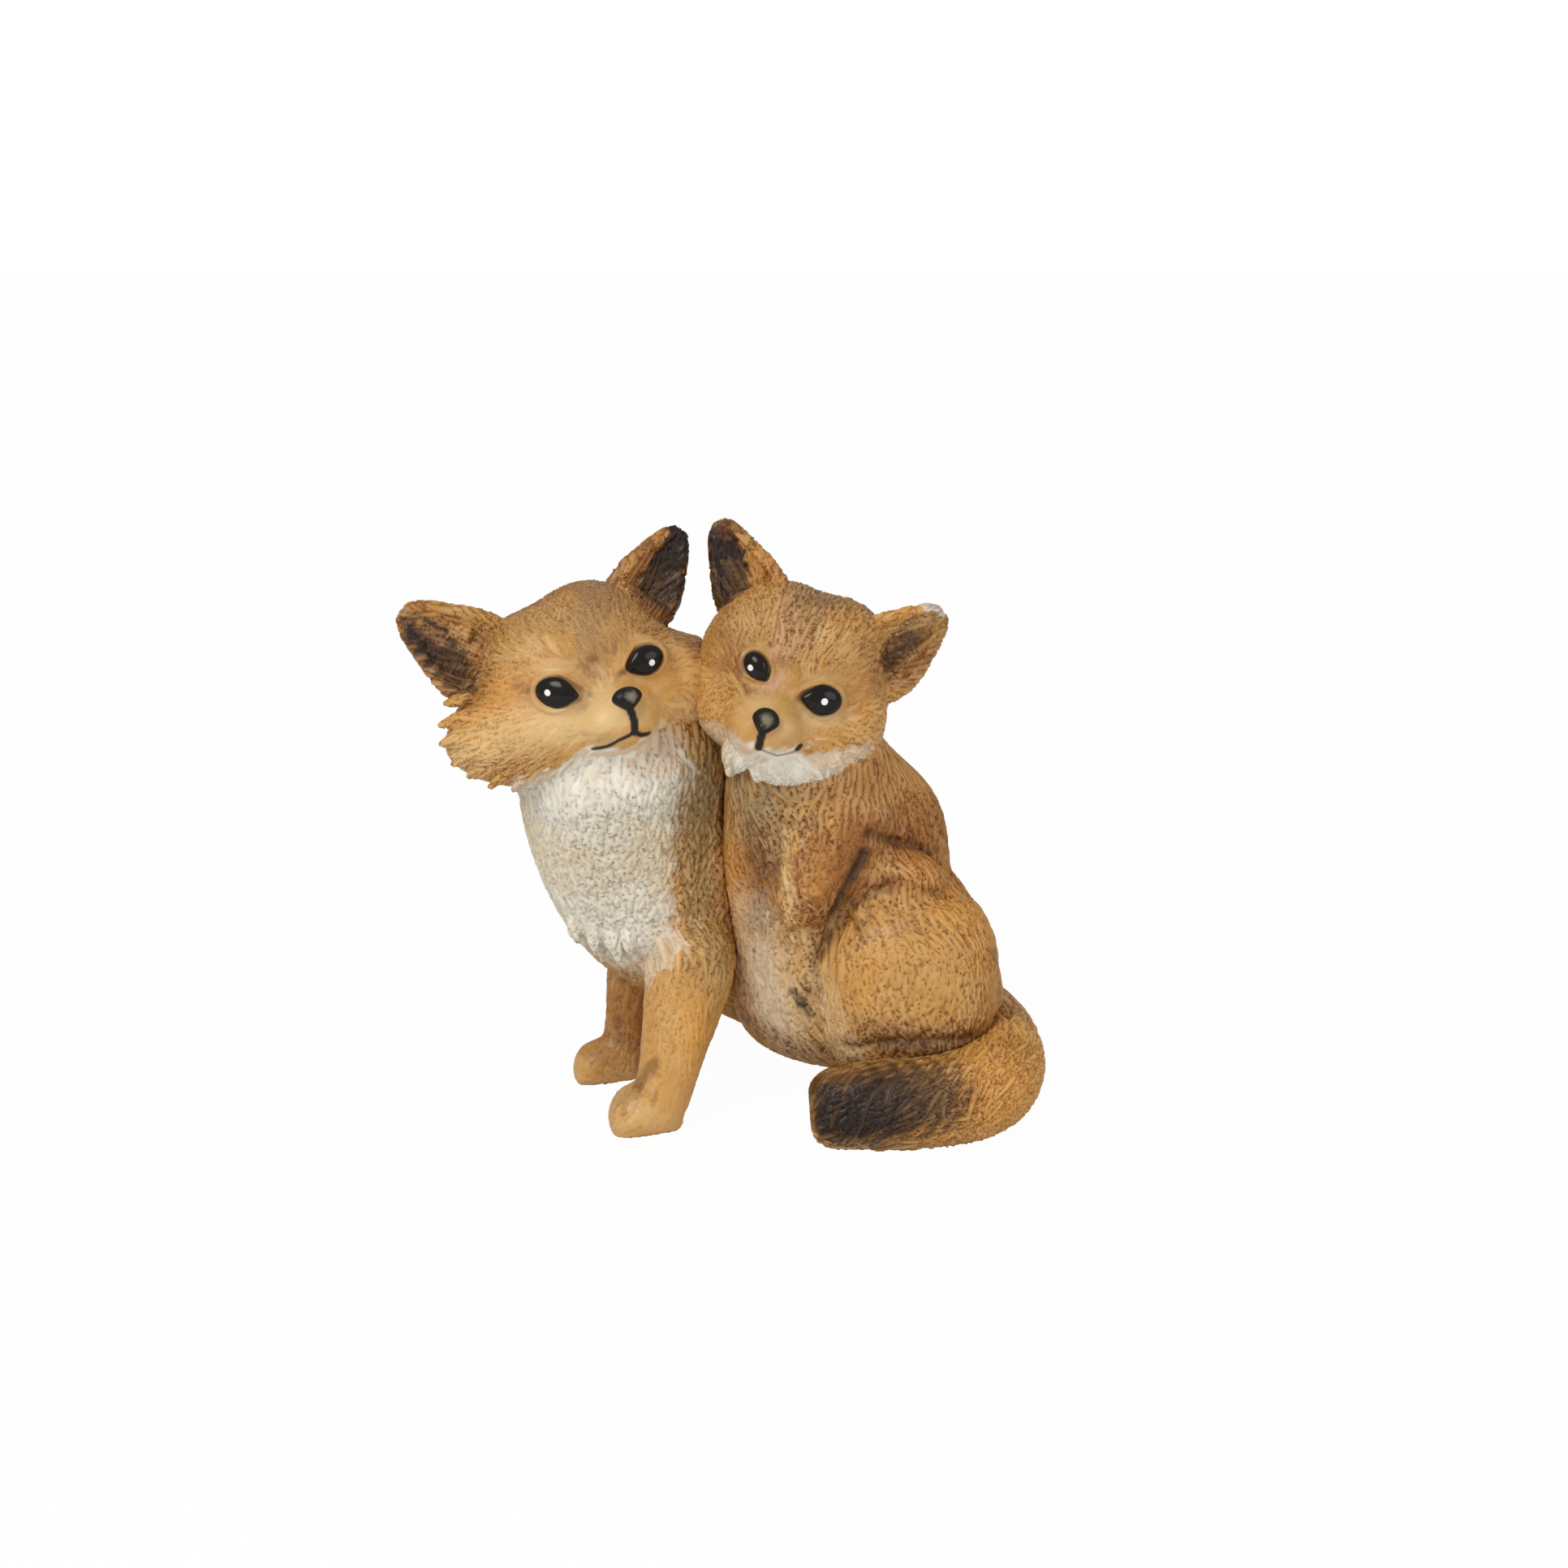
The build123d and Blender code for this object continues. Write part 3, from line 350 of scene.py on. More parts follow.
RIGHT_BRUSH_STROKES = [
    ((46, -20, 12), (40, -27, 8), 9, "orange", 0.9, 0.5),
    ((32, -30, 9), (13, -30, 8), 9.4, "brown", 0.95, 0.3),
    ((31, -30, 10), (15, -30, 8), 7.6, "umber", 0.95, 0.25),
    ((29, -31, 9), (17, -30, 7), 6.4, "dark", 0.95, 0.35),
    ((12, -27, 12), (20, -27, 14), 2.6, "bronze", 0.7, 0.2),
    ((12, -28, 9), (12, -28, 3), 2.0, "bronze", 0.7, 0.2),
    ((16, -31, 1.0), (36, -31, 1.4), 2.4, "tan", 0.8, 0.2),
    ((42, -12, 16), (46, -10, 15), 2.6, "brown", 0.6, 0.3),
]
LEFT_BRUSH_STROKES = [
    ((34, 26, 6), (46, 18, 5), 7, "umber", 0.95, 0.5),
]

# Sculpting: middle, radii and push of each swelling
LEFT_FACE_SWELLS = [
    ((-19.5, -21.5, 74), (2.6, 5, 2.4), (0.2, 1.3, 0.2)),
    ((-25, -23, 75.2), (5, 5, 1.8), (0, -0.9, 0.1)),
    ((-11.5, -18, 78.3), (4.2, 5, 1.8), (0.2, -0.7, 0.2)),
    ((-18.5, -24, 65.8), (4.2, 5, 3.0), (-0.3, -1.0, 0)),
    ((-10.8, -22, 66.6), (2.8, 5, 3.0), (0.3, -0.8, 0)),
    ((-26.5, -23, 67.2), (4.5, 5, 1.8), (0, 0.5, 0)),
    ((-36, -16, 63), (6, 7, 5), (-0.8, -0.6, -0.2)),
    ((-4.6, -12, 69), (4, 6, 11), (1.1, -1.2, 0)),
]
RIGHT_FACE_SWELLS = [
    ((8.0, -21, 73.6), (2.6, 5, 2.4), (-0.1, 1.1, 0.2)),
    ((4.6, -19.6, 77.2), (3.2, 5, 1.6), (0, -0.8, 0.1)),
    ((14.6, -20.5, 73.6), (4.4, 5, 1.8), (0, -0.8, 0.1)),
    ((3.2, -25, 65.8), (2.6, 5, 2.6), (-0.3, -0.7, 0)),
    ((9.6, -24.5, 65.4), (3.2, 5, 2.8), (0.3, -0.9, 0)),
    ((20, -16, 63), (5, 6, 4), (0.6, -0.6, -0.1)),
    ((9, -19, 58.6), (13, 9, 5.0), (0, -0.6, -2.8)),
    ((-2.6, -13, 68), (4, 6, 10), (-0.9, -1.4, 0)),
]
RIGHT_COAT_SWELLS = [
    ((29, -14, 40), (9, 9, 5), (0.9, -1.8, 0.5)),
    ((17.5, -15, 32), (3.2, 6, 7), (0, 1.4, 0)),
    ((9, -16, 56), (10, 7, 5), (0, -1.6, 0)),
    ((1.0, -9.6, 42), (3, 5, 17), (-0.6, -1.6, 0)),
]
LEFT_COAT_SWELLS = [
    ((-8, -16, 27), (6, 6, 7), (0.6, -1.0, 0)),
    ((-0.8, -10, 42), (3, 5, 17), (0.6, -1.2, 0)),
    ((-20, -17, 53), (14, 8, 6.4), (-0.3, -1.7, 0.2)),
    ((-27, -12, 30), (6, 6, 3), (-0.3, -0.3, -0.4)),
]

# Creases: points, half width and depth
LEFT_FACE_CREASES = [
    ([(-38.0, -12, 77.5), (-37.4, -15, 73.5), (-37.4, -17.4, 68.6)], 0.7, 0.6),
    ([(-16.5, -8, 84), (-13, -7.6, 80.6), (-9.4, -7, 78.0)], 0.6, 0.5),
]
RIGHT_FACE_CREASES = [
    ([(-2.0, -10, 80.4), (1.6, -10.6, 82.8), (5.4, -9.6, 84.6)], 0.6, 0.5),
    ([(21.4, -12.5, 78.6), (22.6, -12.8, 74.6), (23.8, -13, 70.2)], 0.7, 0.6),
]
LEFT_COAT_CREASES = [
    ([(-12.4, -17.6, 30), (-12.6, -17.8, 25), (-12.2, -18.4, 20)], 0.6, 0.5),
    ([(-14.6, -21.6, 10), (-12.6, -21.4, 10.6), (-10.6, -21.6, 9.4)], 0.45, 0.4),
]
RIGHT_COAT_CREASES = [
    ([(21.3, -18, 47.6), (25.3, -14, 45.2), (29.9, -11, 43), (33.2, -9, 40.2), (36.6, -8, 36.4),
      (39.4, -9, 32.6), (41, -11, 28.6)], 0.9, 1.0),
    ([(14.6, -15, 27), (16.0, -16, 33.2), (19.7, -16, 36.2), (23.4, -16.5, 38.2), (28.0, -16.2, 38.9),
      (32.4, -15.4, 37.2)], 0.8, 0.8),
    ([(20.8, -18, 44.4), (17.6, -18.6, 37.6), (14.8, -17.6, 32.4)], 0.9, 0.9),
    ([(8.0, -17, 50), (7.8, -17, 43), (8.6, -17, 36)], 0.6, 0.5),
    ([(12.2, -13.4, 27), (12.8, -13.4, 21), (11.6, -13, 17.4)], 0.7, 0.9),
    ([(15.6, -18, 12.4), (24, -21.6, 15.2), (31, -21.8, 15.6), (38.2, -20, 15.4)], 0.9, 0.7),
]

# Locks that stand out of the skin: root, tip and width
LEFT_FACE_LOCKS = [
    ((-36.6, -20.6, 66.6), (-43.0, -19.2, 64.6), 3.4),
    ((-36.0, -21.4, 64.4), (-42.8, -19.8, 61.8), 3.9),
    ((-35.0, -21.6, 62.4), (-41.2, -20.2, 58.9), 3.9),
    ((-33.0, -21.4, 61.2), (-38.8, -20.0, 56.8), 3.9),
    ((-30.6, -21.0, 60.4), (-35.7, -19.6, 55.2), 3.7),
    ((-28.0, -20.6, 59.8), (-32.2, -19.4, 54.4), 3.4),
    ((-37.2, -18.2, 69.0), (-42.3, -17.4, 67.5), 3.0),
    ((-7.4, -15.8, 63.4), (-6.2, -15.6, 58.2), 3.4),
    ((-4.6, -14.0, 64.0), (-3.0, -13.8, 58.2), 3.6),
    ((-2.2, -12.6, 64.0), (-0.8, -12.4, 57.0), 4.0),
]
RIGHT_FACE_LOCKS = [
    ((17.6, -18.0, 62.4), (20.4, -16.8, 59.2), 3.6),
    ((19.0, -17.2, 64.6), (22.6, -15.8, 62.0), 3.2),
    ((20.0, -16.4, 67.0), (23.8, -15.0, 65.2), 3.0),
    ((15.4, -19.0, 60.6), (17.0, -18.0, 57.0), 3.8),
    ((13.0, -19.6, 60.0), (14.0, -19.0, 56.2), 4.0),
    ((10.4, -20.2, 59.6), (10.8, -19.8, 55.8), 4.0),
    ((7.8, -20.4, 59.4), (7.6, -20.0, 55.7), 4.0),
    ((5.2, -20.0, 59.8), (4.6, -19.6, 56.0), 4.0),
    ((2.8, -18.8, 60.8), (1.6, -18.4, 57.0), 3.6),
    ((1.6, -15.4, 62.4), (0.4, -15.0, 55.6), 5.2),
]
LEFT_COAT_LOCKS = [
    ((-25.0, -10.6, 31.6), (-23.4, -11.0, 27.4), 2.2),
    ((-21.4, -12.0, 31.2), (-20.8, -12.0, 26.0), 2.8),
    ((-18.6, -12.8, 31.0), (-17.0, -13.0, 25.0), 3.0),
    ((-16.0, -13.6, 31.0), (-15.2, -13.8, 26.6), 2.6),
]
RIGHT_COAT_LOCKS = [
    ((8.6, -17.6, 40.0), (9.6, -17.8, 31.6), 3.4),
    ((12.4, -13.6, 30.0), (13.8, -13.8, 24.0), 2.4),
    ((12.0, -13.0, 26.4), (13.6, -13.4, 19.6), 2.6),
]


class Eye(NamedTuple):
    """A gloss eye, in its lids"""

    middle: tuple
    inward: tuple  # from the outer to the inner corner
    out: tuple
    half_long: float
    half_high: float
    light: tuple  # the catch light's place along and across, as shares


class Nose(NamedTuple):
    """A nose button"""

    middle: tuple
    up: tuple  # along the bridge
    out: tuple
    half_wide: float
    half_high: float
    half_deep: float


# The beads of the eyes and the buttons of the noses, on their skulls
EYES = {
    "left_cub_right_eye": Eye(
        middle=(-24.7, -24.0, 70.7), inward=(1, 0.12, -0.12), out=(-0.28, -1, 0.12),
        half_long=3.3, half_high=2.35, light=(-0.3, 0.0)),
    "left_cub_left_eye": Eye(
        middle=(-11.9, -19.2, 74.5), inward=(-0.9, -0.5, -0.38), out=(0.42, -1, 0.1),
        half_long=2.95, half_high=2.2, light=(-0.2, 0.22)),
    "right_cub_right_eye": Eye(
        middle=(4.5, -20.1, 73.8), inward=(0.62, -0.1, -0.78), out=(-0.45, -1, 0.1),
        half_long=2.4, half_high=1.8, light=(-0.1, -0.25)),
    "right_cub_left_eye": Eye(
        middle=(14.2, -22.2, 69.2), inward=(-1, -0.1, 0.14), out=(0.22, -1, 0.1),
        half_long=3.05, half_high=2.3, light=(-0.05, 0.05)),
}
NOSES = {
    "left_cub_nose": Nose(
        middle=(-14.2, -25.6, 70.2), up=(-0.28, 0.35, 0.9), out=(0.35, -1, 0.25),
        half_wide=2.35, half_high=1.75, half_deep=1.5),
    "right_cub_nose": Nose(
        middle=(5.9, -26.4, 67.0), up=(0.34, 0.3, 0.9), out=(-0.2, -1, 0.2),
        half_wide=2.1, half_high=2.0, half_deep=1.5),
}

# Brushed black lines under the noses: points and half width
LEFT_FACE_LINES = [
    ([(-13.9, -25.8, 68.8), (-13.3, -25.4, 66.8), (-13.2, -24.8, 65.0)], 0.55),
    ([(-13.2, -24.8, 65.0), (-15.6, -24.2, 63.9), (-17.4, -23.6, 62.7), (-19.6, -22.6, 61.9)], 0.3),
    ([(-13.4, -24.6, 65.0), (-12.2, -23.8, 64.4), (-11.4, -23.0, 64.3)], 0.42),
]
RIGHT_FACE_LINES = [
    ([(5.6, -26.8, 65.8), (5.2, -26.4, 64.4), (4.9, -25.6, 63.0)], 0.6),
    ([(5.4, -25.4, 62.6), (7.6, -23.8, 61.4), (10.2, -22.4, 61.6)], 0.14),
    ([(10.6, -22.2, 61.9), (11.0, -22.0, 62.3)], 0.4),
]

# The points from which fur grows: tufts nearer to one lie over those further away
LEFT_COAT_ROOT = (-16, -8, 75)
RIGHT_COAT_ROOT = (10, -8, 75)
LEFT_BRUSH_ROOT = (16, 16, 6)
RIGHT_BRUSH_ROOT = (44, 5, 10)

# Melting: points this near are one, each round of smoothing moves a point by this share, and
# these rounds follow the last melt
DOUBLES = 0.002
SOFTEN = 0.5
LAST_ROUNDS = 3
# A coat that is further than this from its own solids is drawn in to them by this share of the way
SINK_FILLET = 0.6
SINK_SHARE = 0.95

# The underside is flat up to this height, and the fur fades in above it
FLAT_UP_TO = 0.12
FUR_ABOVE = (0.2, 1.6)

# A tuft along its length, from root to tip: stations, and its width or height there
TUFT_WIDTHS = ((0, 0.3, 0.65, 1), (0.4, 1, 0.85, 0.12))
TUFT_HEIGHTS = ((0, 0.3, 0.85, 1), (0.35, 0.85, 1, 0.7))
# How far a tuft sways to the side, as a share of its half width, how often and how unlike others
SWAY = 0.6
SWAY_TURN = 3.6
SWAY_SPREAD = 90
# Where a tuft's points are looked for, the middle and the reach as shares of its length, and the
# fewest points that make a tuft
TUFT_MIDDLE = 0.5
TUFT_REACH = 0.6
TUFT_POINTS = 3
# Where a tuft ends: behind its root and at its sides, and how far the skin may turn under it
TUFT_BEHIND = -0.02
TUFT_SIDE = 0.97
TUFT_FACING = 0.1
# The level of the bare skin in a tuft's height, and the share of its length where no other starts
TUFT_LEVEL = 0.6
TUFT_TAKEN = 0.72
# Tufts differ in size by a factor between these two, of which the width takes only a share
TUFT_SCALES = (0.7, 1.3)
WIDTH_SHARE = 0.4
# Tufts are pressed from the far ones to the near ones, but for this much disorder
ORDER_SPREAD = 5
# How much the strands of one tuft are shifted against the next
STRAND_SHIFT = 3
# The squared distance over which one guide of a comb rules alone
GUIDE_CORE = 4.0

# The rise of bare skin, and the share of its grooves that a low tuft shows: the least and the gain
RISE_BARE = 0.8
RISE_LEAST = 0.2
RISE_GAIN = 2.2
# The share of its own tone that a tuft shows on dark paint, and the shades between which it rises to all
TONE_LEAST = 0.35
TONE_BETWEEN = (0.02, 0.22)
# How much darker the bottom of a crease is
CREASE_SHADE = 0.6

# The ragged edge of airbrushed paint: height of each wave and its run along X, Y and Z
EDGE_WAVES = ((0.10, (2.1, 1.3, -1.7)), (0.08, (-1.1, 2.9, 3.3)))
# A brushed line reaches deep, along Y, and its edge is blurred outwards and inwards
LINE_DEPTH = 0.15
LINE_BLUR = (0.16, -0.1)

# A lock narrows towards its tip by this share
LOCK_SLIM = 0.6
LOCK_SEGMENTS = 12
LOCK_RINGS = 10

# Lids: height of the rim, its place and width as shares of the eye, and depth of the eye's bed
LID_HEIGHT = 0.42
LID_PLACE = 1.16
LID_WIDTH = 0.17
BED_DEPTH = 0.7
BED_EDGE = (1.05, 0.8)
# The inner corner is pointed, and lids reach only so far in front of and behind the eye
CORNER_POINT = 0.5
LID_REACH = (5, 3)

# Calm skin without fur round eyes, noses and lines: factors on their half size, a margin, how much
# relief stays in it, and where its edge begins and ends
EYE_CALM = 1.35
NOSE_CALM = 1.9
LINE_CALM = 0.9
CALM_LEAST = 0.12
CALM_EDGE = (0.7, 1.25)

# Beads: segments and rings, an eye's thickness, seat and inner corner, and how much a nose narrows
# between its top and its foot
BEAD_SEGMENTS = 40
BEAD_RINGS = 24
EYE_THICK = 1.15
EYE_SEAT = 0.1
CORNER_LONG = 0.06
CORNER_NARROW = 0.5
NOSE_NARROW = 0.42
NOSE_BETWEEN = (0.2, -1)
# Where the light stands on a bead: how far out, and for a nose also across and up
EYE_LIGHT_OUT = 1.0
NOSE_LIGHT = (-0.3, 1.2, 0.3)

# The resin's paint: noise scales, pitch of the hairs in a tuft, and how strongly they show
BLOTCH_SCALE = 140
GRIT_SCALE = 2600
FLOW_SCALE = 900
HAIR_PITCH = 14.0
HAIR_STRENGTH = 0.10
HAIR_SHADE = (0.62, 0.52, 0.44, 1)
GRIT_STRENGTH = 0.35
GRIT_COLOUR = (0.10, 0.06, 0.035, 1)
# How much of the wash pale paint keeps off, and the shades, heights and noise between which pale and
# lit paint, grooves, ridges, blotches and specks of grit come up
PALE_KEEPS = 0.78
PALE_BETWEEN = (0.30, 0.62)
LIT_BETWEEN = (0.02, 0.2)
GROOVE_BETWEEN = (0.9, 0.3)
RIDGE_BETWEEN = (0.75, 1.0)
BLOTCH_BETWEEN = (0.35, 0.7)
GRIT_BETWEEN = (0.70, 0.80)
BUMP_DISTANCE = 0.1 * MM
LACQUER_DARK = (0.006, 0.005, 0.004, 1)
LACQUER_LIGHT = (0.016, 0.012, 0.010, 1)


class Patch(NamedTuple):
    """The pale patch on black lacquer, and the lacquer's gloss"""

    radius: float
    ragged: float  # how far its edge wanders, as a share of the radius
    core: float  # the share of the radius that is full
    colour: tuple
    rough: float
    coat_rough: float
    bump: float


CATCH_LIGHT = Patch(
    radius=0.55, ragged=0.5, core=0.75, colour=(0.93, 0.93, 0.95, 1), rough=0.10, coat_rough=0.06, bump=0.05)
# The pale spot on a nose: rubbed lacquer, with a painted highlight on it
RUBBED_SPOT_AND_HIGHLIGHT = Patch(
    radius=1.3, ragged=1.5, core=0.15, colour=(0.22, 0.20, 0.13, 1), rough=0.35, coat_rough=0.26, bump=0.25)

# The stage, in metres: where the lamps and the camera look, and each lamp's place, disc and colour.
# The floor lies just under the ornament
LAMP_TARGET = (0.004, -0.002, 0.045)
CAMERA_TARGET = (0.0086, 0.0, 0.050)
LAMPS = {
    "key": ((-0.30, -0.42, 0.50), 0.34, (1.0, 0.98, 0.95)),
    "fill": ((0.48, -0.40, 0.28), 0.40, (0.97, 0.98, 1.0)),
}
FLOOR_HALF = 4.0
FLOOR_DROP = 0.00002
CAMERA_SHIFT = 0.0021
CAMERA_NEAR = 0.01
SENSOR = 36.0
# How much of the floor is a white card to the camera, and the world's light on the ornament
FLOOR_WHITE = 0.97
WORLD_LIGHT = 0.46
WHITE = (1, 1, 1, 1)
CARD = (0.9, 0.9, 0.9, 1)


class SkinSettings(bpy.types.PropertyGroup):
    """How finely the skins are melted together and carved"""

    melt: bpy.props.FloatProperty(
        name="Melt grid", description="Grid of the first melt, in which neighbouring solids flow together",
        default=0.55 * MM, min=0.2 * MM, unit="LENGTH")
    melt_rounds: bpy.props.IntProperty(
        name="Melt rounds", description="Smoothing rounds after the first melt", default=10, min=0)
    grain: bpy.props.FloatProperty(
        name="Carving grid", description="Grid of the finished heads and tails",
        default=0.27 * MM, min=0.15 * MM, unit="LENGTH")
    coat_grain: bpy.props.FloatProperty(
        name="Coat grid", description="Grid of the finished coats",
        default=0.33 * MM, min=0.15 * MM, unit="LENGTH")
    most: bpy.props.IntProperty(
        name="Most triangles", description="To how many triangles a coat or a tail is thinned",
        default=190000, min=1000)
    relief: bpy.props.FloatProperty(
        name="Relief", description="Factor on the height of all tufts", default=1.8, min=0.0)
    coarse: bpy.props.FloatProperty(
        name="Coarseness", description="Factor on the width of all tufts", default=1.3, min=0.5)
    longer: bpy.props.FloatProperty(
        name="Length", description="Factor on the length of all tufts", default=1.9, min=0.5)
    packing: bpy.props.FloatProperty(
        name="Packing", description="Share of a tuft's width in which no other tuft starts",
        default=1.0, min=0.1, max=1.0, subtype="FACTOR")
    disorder: bpy.props.FloatProperty(
        name="Disorder", description="How far a tuft may turn away from its comb",
        default=0.24, min=0.0, subtype="ANGLE")
    tones: bpy.props.FloatProperty(
        name="Tones", description="How far tufts differ in tone",
        default=0.09, min=0.0, max=1.0, subtype="FACTOR")
    mottle: bpy.props.FloatProperty(
        name="Mottle", description="How far a tuft keeps the colour of its root",
        default=0.5, min=0.0, max=1.0, subtype="FACTOR")


class PaintSettings(bpy.types.PropertyGroup):
    """Colours that are brushed over the whole ornament"""

    base: bpy.props.FloatVectorProperty(
        name="Base coat", description="Airbrushed ground colour",
        default=tuple(c / 255 for c in PAINTS["gold"]), subtype="COLOR", size=3)
    wash: bpy.props.FloatVectorProperty(
        name="Wash", description="Thin brown that settles in the grooves",
        default=(0.66, 0.49, 0.33), subtype="COLOR", size=3)
    wash_strength: bpy.props.FloatProperty(
        name="Wash strength", description="How dark the grooves get",
        default=0.95, min=0.0, max=1.0, subtype="FACTOR")
    dry: bpy.props.FloatVectorProperty(
        name="Dry brush", description="Pale paint dragged over the ridges",
        default=(0.90, 0.80, 0.62), subtype="COLOR", size=3)
    dry_strength: bpy.props.FloatProperty(
        name="Dry brush strength", description="How pale the ridges get",
        default=0.30, min=0.0, max=1.0, subtype="FACTOR")
    depth: bpy.props.FloatProperty(
        name="Reach", description="Share at which depth, along Y, counts against a stroke's radius",
        default=0.6, min=0.0, max=1.0, subtype="FACTOR")


class StageSettings(bpy.types.PropertyGroup):
    """The floor, the lamps and the camera"""

    distance: bpy.props.FloatProperty(
        name="Camera distance", description="From the camera to the point it looks at",
        default=0.350, unit="LENGTH")
    elevation: bpy.props.FloatProperty(
        name="Camera elevation", description="How far the camera looks down",
        default=math.radians(15), subtype="ANGLE")
    lens: bpy.props.FloatProperty(
        name="Lens", description="Focal length on a 36 mm sensor", default=50.5, subtype="DISTANCE_CAMERA")
    key: bpy.props.FloatProperty(
        name="Key lamp", description="Power of the large lamp at the upper left", default=2.15, unit="POWER")
    fill: bpy.props.FloatProperty(
        name="Fill lamp", description="Power of the lamp at the right", default=0.75, unit="POWER")


def srgb(colour):
    """A paint from 0 to 255 as linear light"""
    c = np.asarray(colour, float) / 255
    return np.where(c <= 0.04045, c / 12.92, ((c + 0.055) / 1.055) ** 2.4)


def picked(colour):
    """A colour of the settings, from 0 to 1, as linear light"""
    return srgb(np.array(colour) * 255)


def smooth(edge0, edge1, x):
    """0 before the first edge and 1 past the second, with an even bend between"""
    t = np.clip((x - edge0) / (edge1 - edge0), 0, 1)
    return t * t * (3 - 2 * t)


def unit(v):
    v = np.asarray(v, float)
    return v / np.maximum(np.linalg.norm(v, axis=-1, keepdims=True), 1e-9)


def axes(along, out):
    """Three axes at right angles: out, along and the one across both"""
    f = unit(out)
    along = np.asarray(along, float)
    s = unit(along - f * (along @ f))
    return f, s, np.cross(f, s)


def add_object(name, data):
    obj = bpy.data.objects.new(name, data)
    bpy.context.scene.collection.objects.link(obj)
    return obj


@contextmanager
def edited(mesh):
    """A mesh open for bmesh operators, which is written back at the end"""
    bm = bmesh.new()
    bm.from_mesh(mesh)
    yield bm
    bm.to_mesh(mesh)
    bm.free()


def gather(name, nodes):
    """One new object with merged copies of CAD nodes"""
    mesh = bpy.data.meshes.new(name)
    with edited(mesh) as bm:
        for node in nodes:
            bm.from_mesh(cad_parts[node].data)
        bmesh.ops.remove_doubles(bm, verts=bm.verts, dist=DOUBLES * MM)
    return add_object(name, mesh)


def settle(obj):
    """Applies the object's modifiers"""
    graph = bpy.context.evaluated_depsgraph_get()
    mesh = bpy.data.meshes.new_from_object(obj.evaluated_get(graph))
    old = obj.data
    obj.modifiers.clear()
    obj.data = mesh
    mesh.name = obj.name
    bpy.data.meshes.remove(old)


def melt(obj, grid, rounds):
    """Turns overlapping shells into one skin of even squares, and smooths it"""
    remesh = obj.modifiers.new("melt", "REMESH")
    remesh.mode = "VOXEL"
    remesh.voxel_size = grid
    remesh.use_smooth_shade = True
    soften = obj.modifiers.new("soften", "SMOOTH")
    soften.factor = SOFTEN
    soften.iterations = rounds
    settle(obj)


def thin(obj):
    """Thins a skin, its flattest places first, to the largest count allowed"""
    most = bpy.context.scene.fox_skin.most
    count = 2 * len(obj.data.polygons)
    if count > most:
        collapse = obj.modifiers.new("thin", "DECIMATE")
        collapse.ratio = most / count
        settle(obj)


def per_point(obj, key):
    """A vector of each of the mesh's points"""
    values = np.empty(len(obj.data.vertices) * 3, np.float32)
    obj.data.vertices.foreach_get(key, values)
    return values.reshape(-1, 3).astype(float)


def points_of(obj):
    return per_point(obj, "co") / MM


def normals_of(obj):
    return per_point(obj, "normal")


def place_points(obj, co):
    obj.data.vertices.foreach_set("co", (co * MM).astype(np.float32).ravel())
    obj.data.update()


def stretch_distance(co, a, b):
    """Distance from each point to the stretch between a and b"""
    a, b = np.asarray(a, float), np.asarray(b, float)
    ab = b - a
    t = np.clip((co - a) @ ab / max(ab @ ab, 1e-9), 0, 1)
    return np.linalg.norm(co - a - t[:, None] * ab, axis=1)


def line_distance(co, points):
    """Distance from each point to a line through several points"""
    return np.min([stretch_distance(co, a, b) for a, b in zip(points, points[1:])], axis=0)


def swell(co, swells):
    """Pushes points near the middle of each swelling, and those at its edge not at all"""
    for middle, radii, push in swells:
        d = np.linalg.norm((co - middle) / radii, axis=1)
        co = co + smooth(1, 0, d)[:, None] * np.asarray(push)
    return co


def crease(co, normals, creases):
    """Presses grooves along the creases, and returns how deep each point lies, from 0 to 1"""
    deep = np.zeros(len(co))
    for points, half, depth in creases:
        groove = np.exp(-(line_distance(co, points) / half) ** 2)
        co = co - normals * (depth * groove)[:, None]
        deep = np.maximum(deep, groove * min(depth, 1))
    return co, deep


def lay_down(co):
    """Keeps the underside flat on the ground"""
    co[:, 2] = np.where(co[:, 2] < FLAT_UP_TO, 0, co[:, 2])
    return co


def hang_locks(obj, locks):
    """Joins drops to the mesh, each from its root to a narrow tip"""
    with edited(obj.data) as bm:
        for root, tip, width in locks:
            root, run = np.array(root), np.subtract(tip, root)
            _, aside, back = axes(np.cross(run, (0, 1, 0)), run)
            drop = bmesh.ops.create_uvsphere(
                bm, u_segments=LOCK_SEGMENTS, v_segments=LOCK_RINGS, radius=1)
            for vert in drop["verts"]:
                x, y, z = vert.co
                along = (z + 1) / 2
                slim = (1 - LOCK_SLIM * along) * width / 2
                vert.co = Vector((root + run * along + (aside * x + back * y) * slim) * MM)


def join(obj, other):
    """Adds another object's mesh to this one, and removes the other"""
    with edited(obj.data) as bm:
        bm.from_mesh(other.data)
    bpy.data.objects.remove(other)


def keep_largest_shell(obj):
    """Deletes crumbs that the melting left loose"""
    edges = np.empty(len(obj.data.edges) * 2, np.int32)
    obj.data.edges.foreach_get("vertices", edges)
    a, b = edges.reshape(-1, 2).T
    shell = np.arange(len(obj.data.vertices))
    while (shell[a] != shell[b]).any():
        low = np.minimum(shell[a], shell[b])
        np.minimum.at(shell, shell[a], low)
        np.minimum.at(shell, shell[b], low)
        shell = shell[shell]
    names, counts = np.unique(shell, return_counts=True)
    if len(names) == 1:
        return
    with edited(obj.data) as bm:
        bm.verts.ensure_lookup_table()
        small = [bm.verts[i] for i in np.flatnonzero(shell != names[counts.argmax()])]
        bmesh.ops.delete(bm, geom=small, context="VERTS")


